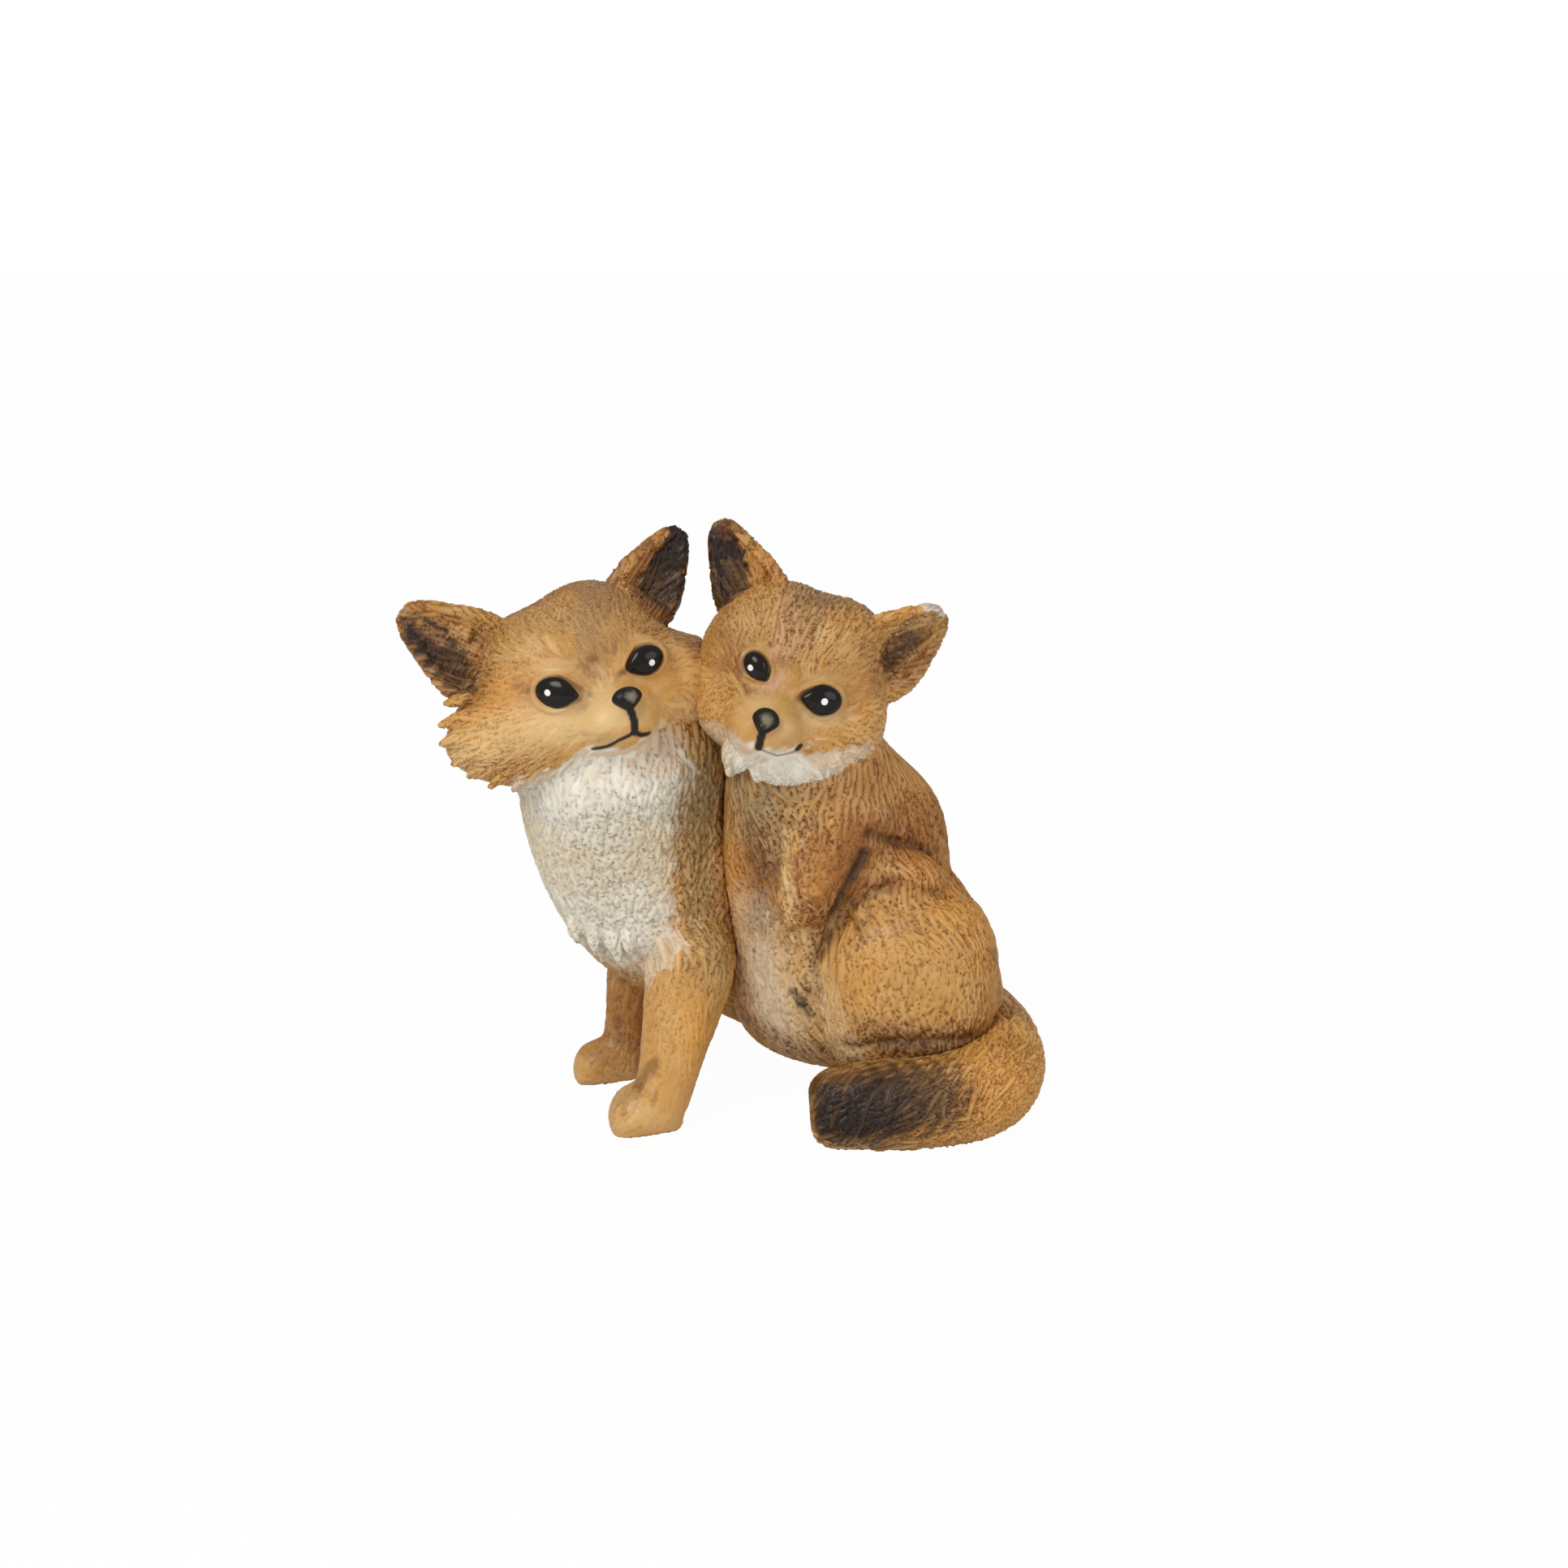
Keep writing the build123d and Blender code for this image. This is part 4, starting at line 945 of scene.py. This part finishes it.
def sink_under(obj, nodes):
    """Draws in whatever is far from the nodes, so that it hides inside its neighbour"""
    bm = bmesh.new()
    for node in nodes:
        bm.from_mesh(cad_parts[node].data)
    tree = BVHTree.FromBMesh(bm)
    bm.free()
    co = points_of(obj)
    nearest = np.array([tree.find_nearest(Vector(p) * MM)[0] for p in co]) / MM
    far = np.linalg.norm(nearest - co, axis=1)
    share = SINK_SHARE * np.maximum(far - SINK_FILLET, 0) / np.maximum(far, SINK_FILLET)
    place_points(obj, co + (nearest - co) * share[:, None])


def airbrush(co, strokes):
    """The paint at each point: base coat and strokes, as linear light. Strokes reach deep, along Y"""
    settings = bpy.context.scene.fox_paint
    paint = np.tile(picked(settings.base), (len(co), 1))
    flat = np.array((1, settings.depth, 1))
    edge = sum(height * np.sin(co @ run) for height, run in EDGE_WAVES)
    for a, b, radius, name, strength, solid in strokes:
        near = stretch_distance(co * flat, a * flat, b * flat) / radius
        paint += (srgb(PAINTS[name]) - paint) * (strength * smooth(1, solid, near + edge))[:, None]
    return paint


def draw_lines(co, paint, lines):
    """Black lines, brushed on from the front"""
    front = np.array((1, LINE_DEPTH, 1))
    outer, inner = LINE_BLUR
    for points, half in lines:
        d = line_distance(co * front, [point * front for point in points])
        paint += (srgb(PAINTS["black"]) - paint) * smooth(half + outer, half + inner, d)[:, None]
    return paint


def comb_fields(co, normals, comb):
    """The direction, and the length, width and height, of tufts at each point"""
    table = np.array(comb, float)
    d2 = ((co[:, None, :] - table[None, :, :3]) ** 2).sum(axis=2)
    weight = 1 / (d2 + GUIDE_CORE) ** 2
    weight /= weight.sum(axis=1, keepdims=True)
    lie = weight @ unit(table[:, 3:6])
    lie = unit(lie - normals * (lie * normals).sum(axis=1, keepdims=True))
    return lie, weight @ table[:, 6:]


def eye_beds(co, normals, eyes):
    """Lids: a low rim round each eye, and a bed for it"""
    move = np.zeros(len(co))
    for eye in eyes:
        f, s, t = axes(eye.inward, eye.out)
        d = co - eye.middle
        x, y, z = d @ s / eye.half_long, d @ f, d @ t / eye.half_high
        reach = np.hypot(x, z * (1 + CORNER_POINT * np.maximum(x, 0)))
        rim = LID_HEIGHT * np.exp(-((reach - LID_PLACE) / LID_WIDTH) ** 2)
        move += smooth(*LID_REACH, np.abs(y)) * (rim - BED_DEPTH * smooth(*BED_EDGE, reach))
    return co + normals * move[:, None]


def calm_round(eyes, nose, lines):
    """A function that is near 0 at the eyes, the nose and the mouth, and 1 where there is fur"""
    spots = [(eye.middle, eye.middle, eye.half_long * EYE_CALM) for eye in eyes]
    spots.append((nose.middle, nose.middle, nose.half_wide * NOSE_CALM))
    spots += [(a, b, half + LINE_CALM) for points, half in lines for a, b in zip(points, points[1:])]

    def quiet(co):
        calm = np.ones(len(co))
        for a, b, radius in spots:
            near = stretch_distance(co, a, b) / radius
            calm *= CALM_LEAST + (1 - CALM_LEAST) * smooth(*CALM_EDGE, near)
        return calm
    return quiet


def furry(co):
    """1 at every point, for skin that is all fur"""
    return np.ones(len(co))


def tuft(obj, comb, strokes, creases, root, seed, quiet):
    """Carves creases and tufts along the comb, and paints each tuft as it lies

    Tufts far from the root are pressed first, so that the tips of others lie over them.
    quiet gives the share of the relief that each point keeps. Returns each point's paint,
    its rise above the grooves and its place across the strands of its tuft.
    """
    settings = bpy.context.scene.fox_skin
    rng = np.random.default_rng(seed)
    co, deep = crease(points_of(obj), normals_of(obj), creases)
    place_points(obj, co)
    normals = normals_of(obj)
    lie, size = comb_fields(co, normals, comb)
    calm = quiet(co)
    height = size[:, 2] * settings.relief * calm * smooth(*FUR_ABOVE, co[:, 2])
    base = airbrush(co, strokes)
    colour = base.copy()
    rise = np.full(len(co), RISE_BARE)
    lift = np.zeros(len(co))
    strand = np.zeros(len(co))
    covered = np.zeros(len(co), bool)
    tree = KDTree(len(co))
    for i, p in enumerate(co):
        tree.insert(p, i)
    tree.balance()

    def press(i, way, length, half, tall, tone):
        """Presses one tuft from point i, and returns the points where no other may start"""
        n = normals[i]
        t = unit(way - n * (way @ n))
        b = np.cross(n, t)
        found = tree.find_range(co[i] + t * length * TUFT_MIDDLE, length * TUFT_REACH)
        near = np.array([k for _, k, _ in found])
        if len(near) < TUFT_POINTS:
            return near
        d = co[near] - co[i]
        u = d @ t / length
        v = (d @ b - SWAY * half * np.sin(SWAY_TURN * u + SWAY_SPREAD * tone)) / half
        q = np.abs(v) / np.interp(u, *TUFT_WIDTHS)
        here = (u > TUFT_BEHIND) & (u < 1) & (q < TUFT_SIDE) & (normals[near] @ n > TUFT_FACING)
        hit, q, u, v = near[here], q[here], u[here], v[here]
        body = np.sqrt(1 - q * q) * np.interp(u, *TUFT_HEIGHTS)
        rise[hit] = body
        lift[hit] = (body - TUFT_LEVEL) * tall
        colour[hit] = base[i] * (1 + tone)
        strand[hit] = v * half + STRAND_SHIFT * tone
        return hit[(q < settings.packing) & (u < TUFT_TAKEN)]

    turns = rng.normal(0, settings.disorder, len(co))
    scales = rng.uniform(*TUFT_SCALES, len(co))
    tones = rng.normal(0, settings.tones, len(co))
    order = np.argsort(-np.linalg.norm(co - root, axis=1) + rng.uniform(0, ORDER_SPREAD, len(co)))
    lengths = size[:, 0] * scales * settings.longer
    halves = size[:, 1] * (1 - WIDTH_SHARE + WIDTH_SHARE * scales) * settings.coarse / 2
    for i in order:
        if covered[i]:
            continue
        covered[i] = True
        way = lie[i] * math.cos(turns[i]) + np.cross(normals[i], lie[i]) * math.sin(turns[i])
        covered[press(i, way, lengths[i], halves[i], height[i] * scales[i], tones[i])] = True
    place_points(obj, lay_down(co + normals * lift[:, None]))
    rise = 1 - (1 - rise) * np.minimum(RISE_LEAST + RISE_GAIN * size[:, 2], 1) * calm
    bright = TONE_LEAST + (1 - TONE_LEAST) * smooth(*TONE_BETWEEN, base.mean(axis=1))
    paint = base + (colour - base) * (settings.mottle * calm * bright)[:, None]
    paint *= 1 - CREASE_SHADE * deep[:, None]
    return paint, rise, strand


def store(obj, paint, rise, strand):
    """Keeps what the paint's material reads"""
    attributes = obj.data.attributes
    rgba = np.concatenate([np.clip(paint, 0, 1), np.ones((len(paint), 1))], axis=1)
    colours = attributes.new("paint", "FLOAT_COLOR", "POINT")
    colours.data.foreach_set("color", rgba.astype(np.float32).ravel())
    for name, values in (("relief", rise), ("strand", strand)):
        layer = attributes.new(name, "FLOAT", "POINT")
        layer.data.foreach_set("value", values.astype(np.float32))


class Wire:
    """A socket, or a number, that adds Math nodes when it is used in an expression"""

    def __init__(self, nodes, value):
        self.nodes = nodes
        self.value = value

    def math(self, operation, *others):
        values = [getattr(v, "value", v) for v in (self,) + others]
        return self.nodes.node("ShaderNodeMath", {"operation": operation}, dict(enumerate(values)))

    def __add__(self, other):
        return self.math("ADD", other)

    def __sub__(self, other):
        return self.math("SUBTRACT", other)

    def __mul__(self, other):
        return self.math("MULTIPLY", other)

    def __radd__(self, other):
        return Wire(self.nodes, other) + self

    def __rsub__(self, other):
        return Wire(self.nodes, other) - self

    def __rmul__(self, other):
        return Wire(self.nodes, other) * self

    def sine(self):
        return self.math("SINE")

    def steps(self, low, high):
        """0 below low and 1 above high, or the other way round"""
        return self.nodes.node(
            "ShaderNodeMapRange", {"interpolation_type": "SMOOTHSTEP"},
            {"Value": self.value, "From Min": low, "From Max": high})


class Nodes:
    """The node tree of a material or a world, cleared but for its output"""

    # The colour sockets of a Mix node, and its colour output
    MIX_A = 6
    MIX_B = 7
    MIX_COLOUR = 2

    def __init__(self, owner, output):
        owner.use_nodes = True
        self.owner = owner
        self.tree = owner.node_tree
        self.tree.nodes.clear()
        self.output = self.tree.nodes.new(output)

    def node(self, kind, settings=None, inputs=None, out=0):
        node = self.tree.nodes.new(kind)
        for key, value in (settings or {}).items():
            setattr(node, key, value)
        for key, value in (inputs or {}).items():
            value = getattr(value, "value", value)
            if isinstance(value, bpy.types.NodeSocket):
                self.tree.links.new(value, node.inputs[key])
            else:
                node.inputs[key].default_value = value
        return Wire(self, node.outputs[out])

    def attribute(self, name, out):
        return self.node("ShaderNodeAttribute", {"attribute_name": name}, out=out)

    def place(self):
        return self.node("ShaderNodeTexCoord", out="Object")

    def noise(self, scale, detail):
        return self.node(
            "ShaderNodeTexNoise", inputs={"Vector": self.place(), "Scale": scale, "Detail": detail})

    def grey(self, colour):
        return self.node("ShaderNodeRGBToBW", inputs={"Color": colour})

    def mix(self, factor, a, b, blend="MIX"):
        return self.node(
            "ShaderNodeMix", {"data_type": "RGBA", "blend_type": blend},
            {"Factor": factor, self.MIX_A: a, self.MIX_B: b}, out=self.MIX_COLOUR)

    def bump(self, height, strength):
        return self.node(
            "ShaderNodeBump", inputs={"Height": height, "Strength": strength, "Distance": BUMP_DISTANCE})

    def seen(self):
        """1 for the camera's own rays"""
        return self.node("ShaderNodeLightPath", out="Is Camera Ray")

    def surface(self, shader):
        self.tree.links.new(shader.value, self.output.inputs["Surface"])
        return self.owner

    def varnished(self, **inputs):
        return self.surface(self.node("ShaderNodeBsdfPrincipled", inputs=inputs))


def material_nodes(name):
    return Nodes(bpy.data.materials.new(name), "ShaderNodeOutputMaterial")


def painted_resin():
    """Airbrushed resin with a wash in its grooves and dry-brushed ridges, under a satin varnish"""
    name = "painted resin"
    if name in bpy.data.materials:
        return bpy.data.materials[name]
    settings = bpy.context.scene.fox_paint
    s = material_nodes(name)
    relief = s.attribute("relief", "Fac")
    strand = s.attribute("strand", "Fac")
    blotch = s.noise(BLOTCH_SCALE, 3)
    grit = s.noise(GRIT_SCALE, 2)
    hair = (strand * HAIR_PITCH).sine() * 0.5 + 0.5
    paint = s.attribute("paint", "Color")
    pale = s.grey(paint).steps(*PALE_BETWEEN)
    groove = relief.steps(*GROOVE_BETWEEN) * settings.wash_strength * (1 - pale * PALE_KEEPS)
    washed = s.mix(groove, paint, s.mix(1.0, paint, (*picked(settings.wash), 1), "MULTIPLY"))
    lit = s.grey(paint).steps(*LIT_BETWEEN)
    ridge = relief.steps(*RIDGE_BETWEEN) * blotch.steps(*BLOTCH_BETWEEN) * lit * settings.dry_strength
    brushed = s.mix(ridge, washed, (*picked(settings.dry), 1))
    streaked = s.mix(hair * HAIR_STRENGTH, brushed, s.mix(1.0, brushed, HAIR_SHADE, "MULTIPLY"))
    speckled = s.mix(grit.steps(*GRIT_BETWEEN) * GRIT_STRENGTH, streaked, GRIT_COLOUR)
    return s.varnished(**{
        "Base Color": speckled,
        "Roughness": 0.44 + 0.16 * blotch - 0.08 * relief,
        "IOR": 1.45,
        "Specular IOR Level": 0.4,
        "Coat Weight": 0.10,
        "Coat Roughness": 0.25,
        "Normal": s.bump(hair * 0.4 + grit * 0.3, 0.25),
    })


def gloss_black(name, place, patch):
    """Black lacquer with one pale patch at a place in millimetres: a catch light on an eye, and on a nose a
    rubbed spot with a painted highlight
    """
    s = material_nodes(name)
    away = s.node(
        "ShaderNodeVectorMath", {"operation": "DISTANCE"}, {0: s.place(), 1: tuple(place * MM)}, out="Value")
    flow = s.noise(FLOW_SCALE, 3)
    radius = patch.radius * MM
    edge = (away + (flow - 0.5) * (radius * patch.ragged)).steps(radius, radius * patch.core)
    lacquer = s.mix(flow, LACQUER_DARK, LACQUER_LIGHT)
    return s.varnished(**{
        "Base Color": s.mix(edge, lacquer, patch.colour),
        "Roughness": patch.rough + 0.12 * flow,
        "IOR": 1.5,
        "Specular IOR Level": 0.22,
        "Coat Weight": 0.05,
        "Coat Roughness": patch.coat_rough,
        "Normal": s.bump(flow, patch.bump),
    })


def white_card():
    """White to the camera, and pale paper that takes the ornament's shadow to all else"""
    s = material_nodes("white card")
    paper = s.node("ShaderNodeBsdfDiffuse", inputs={"Color": CARD})
    white = s.node("ShaderNodeEmission", inputs={"Color": WHITE, "Strength": 1.0})
    return s.surface(s.node("ShaderNodeMixShader", inputs={0: s.seen() * FLOOR_WHITE, 1: paper, 2: white}))


def studio():
    """A world that is white to the camera and soft light to the ornament"""
    s = Nodes(bpy.data.worlds.new("studio"), "ShaderNodeOutputWorld")
    strength = WORLD_LIGHT + s.seen() * (1 - WORLD_LIGHT)
    return s.surface(s.node("ShaderNodeBackground", inputs={"Color": WHITE, "Strength": strength}))


def finish_piece(obj, nodes, material):
    obj.data.materials.append(material)
    obj.data.polygons.foreach_set("use_smooth", np.ones(len(obj.data.polygons), bool))
    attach(obj, "root")
    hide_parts(*nodes)
    return obj


def make_face(cub, comb, strokes, swells, creases, locks, lines, seed):
    """A head: skull melted smooth, ears joined on, lids, tufts, paint and the lines of the mouth"""
    settings = bpy.context.scene.fox_skin
    sockets = [f"{cub}_right_eye", f"{cub}_left_eye"]
    ears = [f"{cub}_right_ear", f"{cub}_left_ear"]
    head = f"{cub}_head"
    nose = f"{cub}_nose"
    eyes = [EYES[node] for node in sockets]
    obj = gather(f"{cub}_face", [head, *sockets, nose])
    melt(obj, settings.melt, settings.melt_rounds)
    place_points(obj, swell(points_of(obj), swells))
    join(obj, gather("ears", ears))
    hang_locks(obj, locks)
    melt(obj, settings.grain, LAST_ROUNDS)
    keep_largest_shell(obj)
    place_points(obj, eye_beds(points_of(obj), normals_of(obj), eyes))
    quiet = calm_round(eyes, NOSES[nose], lines)
    paint, rise, strand = tuft(obj, comb, strokes, creases, NOSES[nose].middle, seed, quiet)
    store(obj, draw_lines(points_of(obj), paint, lines), rise, strand)
    return finish_piece(obj, [head, *ears], painted_resin())


def make_coat(name, nodes, comb, strokes, root, seed, head=None, swells=(), creases=(), locks=()):
    """A body with its limbs, or a tail, melted together. A body is drawn in under its head"""
    settings = bpy.context.scene.fox_skin
    obj = gather(name, nodes + [head] if head else nodes)
    melt(obj, settings.melt, settings.melt_rounds)
    if head:
        sink_under(obj, nodes)
    place_points(obj, swell(points_of(obj), swells))
    hang_locks(obj, locks)
    melt(obj, settings.coat_grain if head else settings.grain, LAST_ROUNDS)
    keep_largest_shell(obj)
    store(obj, *tuft(obj, comb, strokes, creases, root, seed, furry))
    thin(obj)
    return finish_piece(obj, nodes, painted_resin())


def shaped_bead(name, reshape, middle, s, f, t):
    """A sphere that is reshaped and then turned into place: s across, f out and t up"""
    mesh = bpy.data.meshes.new(name)
    with edited(mesh) as bm:
        bmesh.ops.create_uvsphere(bm, u_segments=BEAD_SEGMENTS, v_segments=BEAD_RINGS, radius=1)
        for vert in bm.verts:
            x, y, z = reshape(*vert.co)
            vert.co = Vector((np.asarray(middle) + x * s + y * f + z * t) * MM)
        bm.normal_update()
        bmesh.ops.recalc_face_normals(bm, faces=bm.faces)
    return add_object(name, mesh)


def make_eye(node):
    """A bead that is pointed at its inner corner, with a catch light"""
    eye = EYES[node]
    f, s, t = axes(eye.inward, eye.out)

    def reshape(x, y, z):
        point = max(x, 0) ** 2
        long = x * eye.half_long * (1 + CORNER_LONG * point)
        return long, y * EYE_THICK - EYE_SEAT, z * eye.half_high * (1 - CORNER_NARROW * point)

    obj = shaped_bead(f"{node}_bead", reshape, eye.middle, s, f, t)
    along, up = eye.light
    light = np.asarray(eye.middle) + s * along * eye.half_long + f * EYE_LIGHT_OUT + t * up * eye.half_high
    return finish_piece(obj, [node], gloss_black(f"{node} lacquer", light, CATCH_LIGHT))


def make_nose(node):
    """A button that narrows downwards, with its lacquer rubbed on top and a painted highlight on the rubbed
    spot
    """
    nose = NOSES[node]
    f, t, s = axes(nose.up, nose.out)

    def reshape(x, y, z):
        narrow = 1 - NOSE_NARROW * smooth(*NOSE_BETWEEN, z)
        return x * nose.half_wide * narrow, y * nose.half_deep, z * nose.half_high

    obj = shaped_bead(f"{node}_button", reshape, nose.middle, s, f, t)
    across, out, up = NOSE_LIGHT
    light = np.asarray(nose.middle) + s * across + f * out + t * up
    return finish_piece(obj, [node], gloss_black(f"{node} lacquer", light, RUBBED_SPOT_AND_HIGHLIGHT))


def made(*pieces):
    """What an operator returns when all of its pieces are there"""
    if not all(pieces):
        raise RuntimeError("a piece of the ornament was not made")
    return {"FINISHED"}


class FOX_OT_left_face(bpy.types.Operator):
    """Sculpts and paints the left cub's head and ears"""

    bl_idname = "fox.left_face"
    bl_label = "Left cub's head"

    def execute(self, context):
        return made(make_face(
            "left_cub", LEFT_FACE_COMB, LEFT_FACE_STROKES, LEFT_FACE_SWELLS, LEFT_FACE_CREASES,
            LEFT_FACE_LOCKS, LEFT_FACE_LINES, seed=11))


class FOX_OT_right_face(bpy.types.Operator):
    """Sculpts and paints the right cub's head and ears"""

    bl_idname = "fox.right_face"
    bl_label = "Right cub's head"

    def execute(self, context):
        return made(make_face(
            "right_cub", RIGHT_FACE_COMB, RIGHT_FACE_STROKES, RIGHT_FACE_SWELLS, RIGHT_FACE_CREASES,
            RIGHT_FACE_LOCKS, RIGHT_FACE_LINES, seed=12))


class FOX_OT_left_coat(bpy.types.Operator):
    """Sculpts and paints the left cub's body, forelegs and haunch"""

    bl_idname = "fox.left_coat"
    bl_label = "Left cub's coat"

    def execute(self, context):
        nodes = ["left_cub_body", "left_cub_left_foreleg", "left_cub_right_foreleg", "left_cub_haunch"]
        return made(make_coat(
            "left_cub_coat", nodes, LEFT_COAT_COMB, LEFT_COAT_STROKES, root=LEFT_COAT_ROOT, seed=21,
            head="left_cub_head", swells=LEFT_COAT_SWELLS, creases=LEFT_COAT_CREASES, locks=LEFT_COAT_LOCKS))


class FOX_OT_right_coat(bpy.types.Operator):
    """Sculpts and paints the right cub's body, foreleg, haunches and hind paw"""

    bl_idname = "fox.right_coat"
    bl_label = "Right cub's coat"

    def execute(self, context):
        nodes = [
            "right_cub_body", "right_cub_left_foreleg", "right_cub_haunch", "right_cub_hind_paw",
            "right_cub_far_haunch",
        ]
        return made(make_coat(
            "right_cub_coat", nodes, RIGHT_COAT_COMB, RIGHT_COAT_STROKES, root=RIGHT_COAT_ROOT, seed=22,
            head="right_cub_head", swells=RIGHT_COAT_SWELLS, creases=RIGHT_COAT_CREASES,
            locks=RIGHT_COAT_LOCKS))


class FOX_OT_tails(bpy.types.Operator):
    """Sculpts and paints both tails"""

    bl_idname = "fox.tails"
    bl_label = "Tails"

    def execute(self, context):
        left = make_coat(
            "left_cub_brush", ["left_cub_tail"], LEFT_BRUSH_COMB, LEFT_BRUSH_STROKES,
            root=LEFT_BRUSH_ROOT, seed=31)
        right = make_coat(
            "right_cub_brush", ["right_cub_tail"], RIGHT_BRUSH_COMB, RIGHT_BRUSH_STROKES,
            root=RIGHT_BRUSH_ROOT, seed=32)
        return made(left, right)


class FOX_OT_eyes(bpy.types.Operator):
    """Makes the gloss eyes with their catch lights"""

    bl_idname = "fox.eyes"
    bl_label = "Eyes"

    def execute(self, context):
        return made(*[make_eye(node) for node in EYES])


class FOX_OT_noses(bpy.types.Operator):
    """Makes the lacquered nose buttons"""

    bl_idname = "fox.noses"
    bl_label = "Noses"

    def execute(self, context):
        return made(*[make_nose(node) for node in NOSES])


def aim(obj, target):
    obj.rotation_euler = (Vector(target) - obj.location).to_track_quat("-Z", "Y").to_euler()


def hang_lamp(name, power):
    place, disc, colour = LAMPS[name]
    data = bpy.data.lights.new(name, "AREA")
    data.shape = "DISK"
    data.size = disc
    data.energy = power
    data.color = colour
    obj = add_object(name, data)
    obj.location = place
    aim(obj, LAMP_TARGET)
    return obj


def lay_floor():
    mesh = bpy.data.meshes.new("floor")
    with edited(mesh) as bm:
        bmesh.ops.create_grid(bm, x_segments=2, y_segments=2, size=FLOOR_HALF)
    mesh.materials.append(white_card())
    floor = add_object("floor", mesh)
    floor.location = (0, 0, -FLOOR_DROP)
    return floor


def set_camera(distance, elevation, lens):
    data = bpy.data.cameras.new("camera")
    data.lens = lens
    data.sensor_width = SENSOR
    data.shift_y = CAMERA_SHIFT
    data.clip_start = CAMERA_NEAR
    camera = add_object("camera", data)
    away = Vector((0, -math.cos(elevation), math.sin(elevation)))
    camera.location = Vector(CAMERA_TARGET) + away * distance
    aim(camera, CAMERA_TARGET)
    return camera


class FOX_OT_stage(bpy.types.Operator):
    """Lays the white floor, hangs the lamps and sets the camera"""

    bl_idname = "fox.stage"
    bl_label = "Stage"

    def execute(self, context):
        scene = context.scene
        settings = scene.fox_stage
        scene.view_settings.view_transform = "Standard"
        floor = lay_floor()
        scene.world = studio()
        lamps = [hang_lamp("key", settings.key), hang_lamp("fill", settings.fill)]
        scene.camera = set_camera(settings.distance, settings.elevation, settings.lens)
        return made(floor, *lamps, scene.camera)


class FOX_PT_panel(bpy.types.Panel):
    """The ornament's pieces and settings"""

    bl_idname = "FOX_PT_panel"
    bl_label = "Fox cubs"
    bl_space_type = "VIEW_3D"
    bl_region_type = "UI"
    bl_category = "Fox cubs"

    def draw(self, context):
        for key, settings in GROUPS.items():
            for size in settings.__annotations__:
                self.layout.prop(getattr(context.scene, key), size)
        for operator in OPERATORS:
            self.layout.operator(operator.bl_idname)


GROUPS = {"fox_skin": SkinSettings, "fox_paint": PaintSettings, "fox_stage": StageSettings}
OPERATORS = [
    FOX_OT_left_face, FOX_OT_right_face, FOX_OT_left_coat, FOX_OT_right_coat, FOX_OT_tails, FOX_OT_eyes,
    FOX_OT_noses, FOX_OT_stage,
]


def register():
    for cls in [*GROUPS.values(), *OPERATORS, FOX_PT_panel]:
        bpy.utils.register_class(cls)
    for key, cls in GROUPS.items():
        setattr(bpy.types.Scene, key, bpy.props.PointerProperty(type=cls))


def unregister():
    for key in GROUPS:
        delattr(bpy.types.Scene, key)
    for cls in reversed([*GROUPS.values(), *OPERATORS, FOX_PT_panel]):
        bpy.utils.unregister_class(cls)


def main():
    register()
    bpy.ops.fox.left_face()
    bpy.ops.fox.right_face()
    bpy.ops.fox.left_coat()
    bpy.ops.fox.right_coat()
    bpy.ops.fox.tails()
    bpy.ops.fox.eyes()
    bpy.ops.fox.noses()
    bpy.ops.fox.stage()
    bpy.context.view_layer.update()


if __name__ == "__main__":
    main()
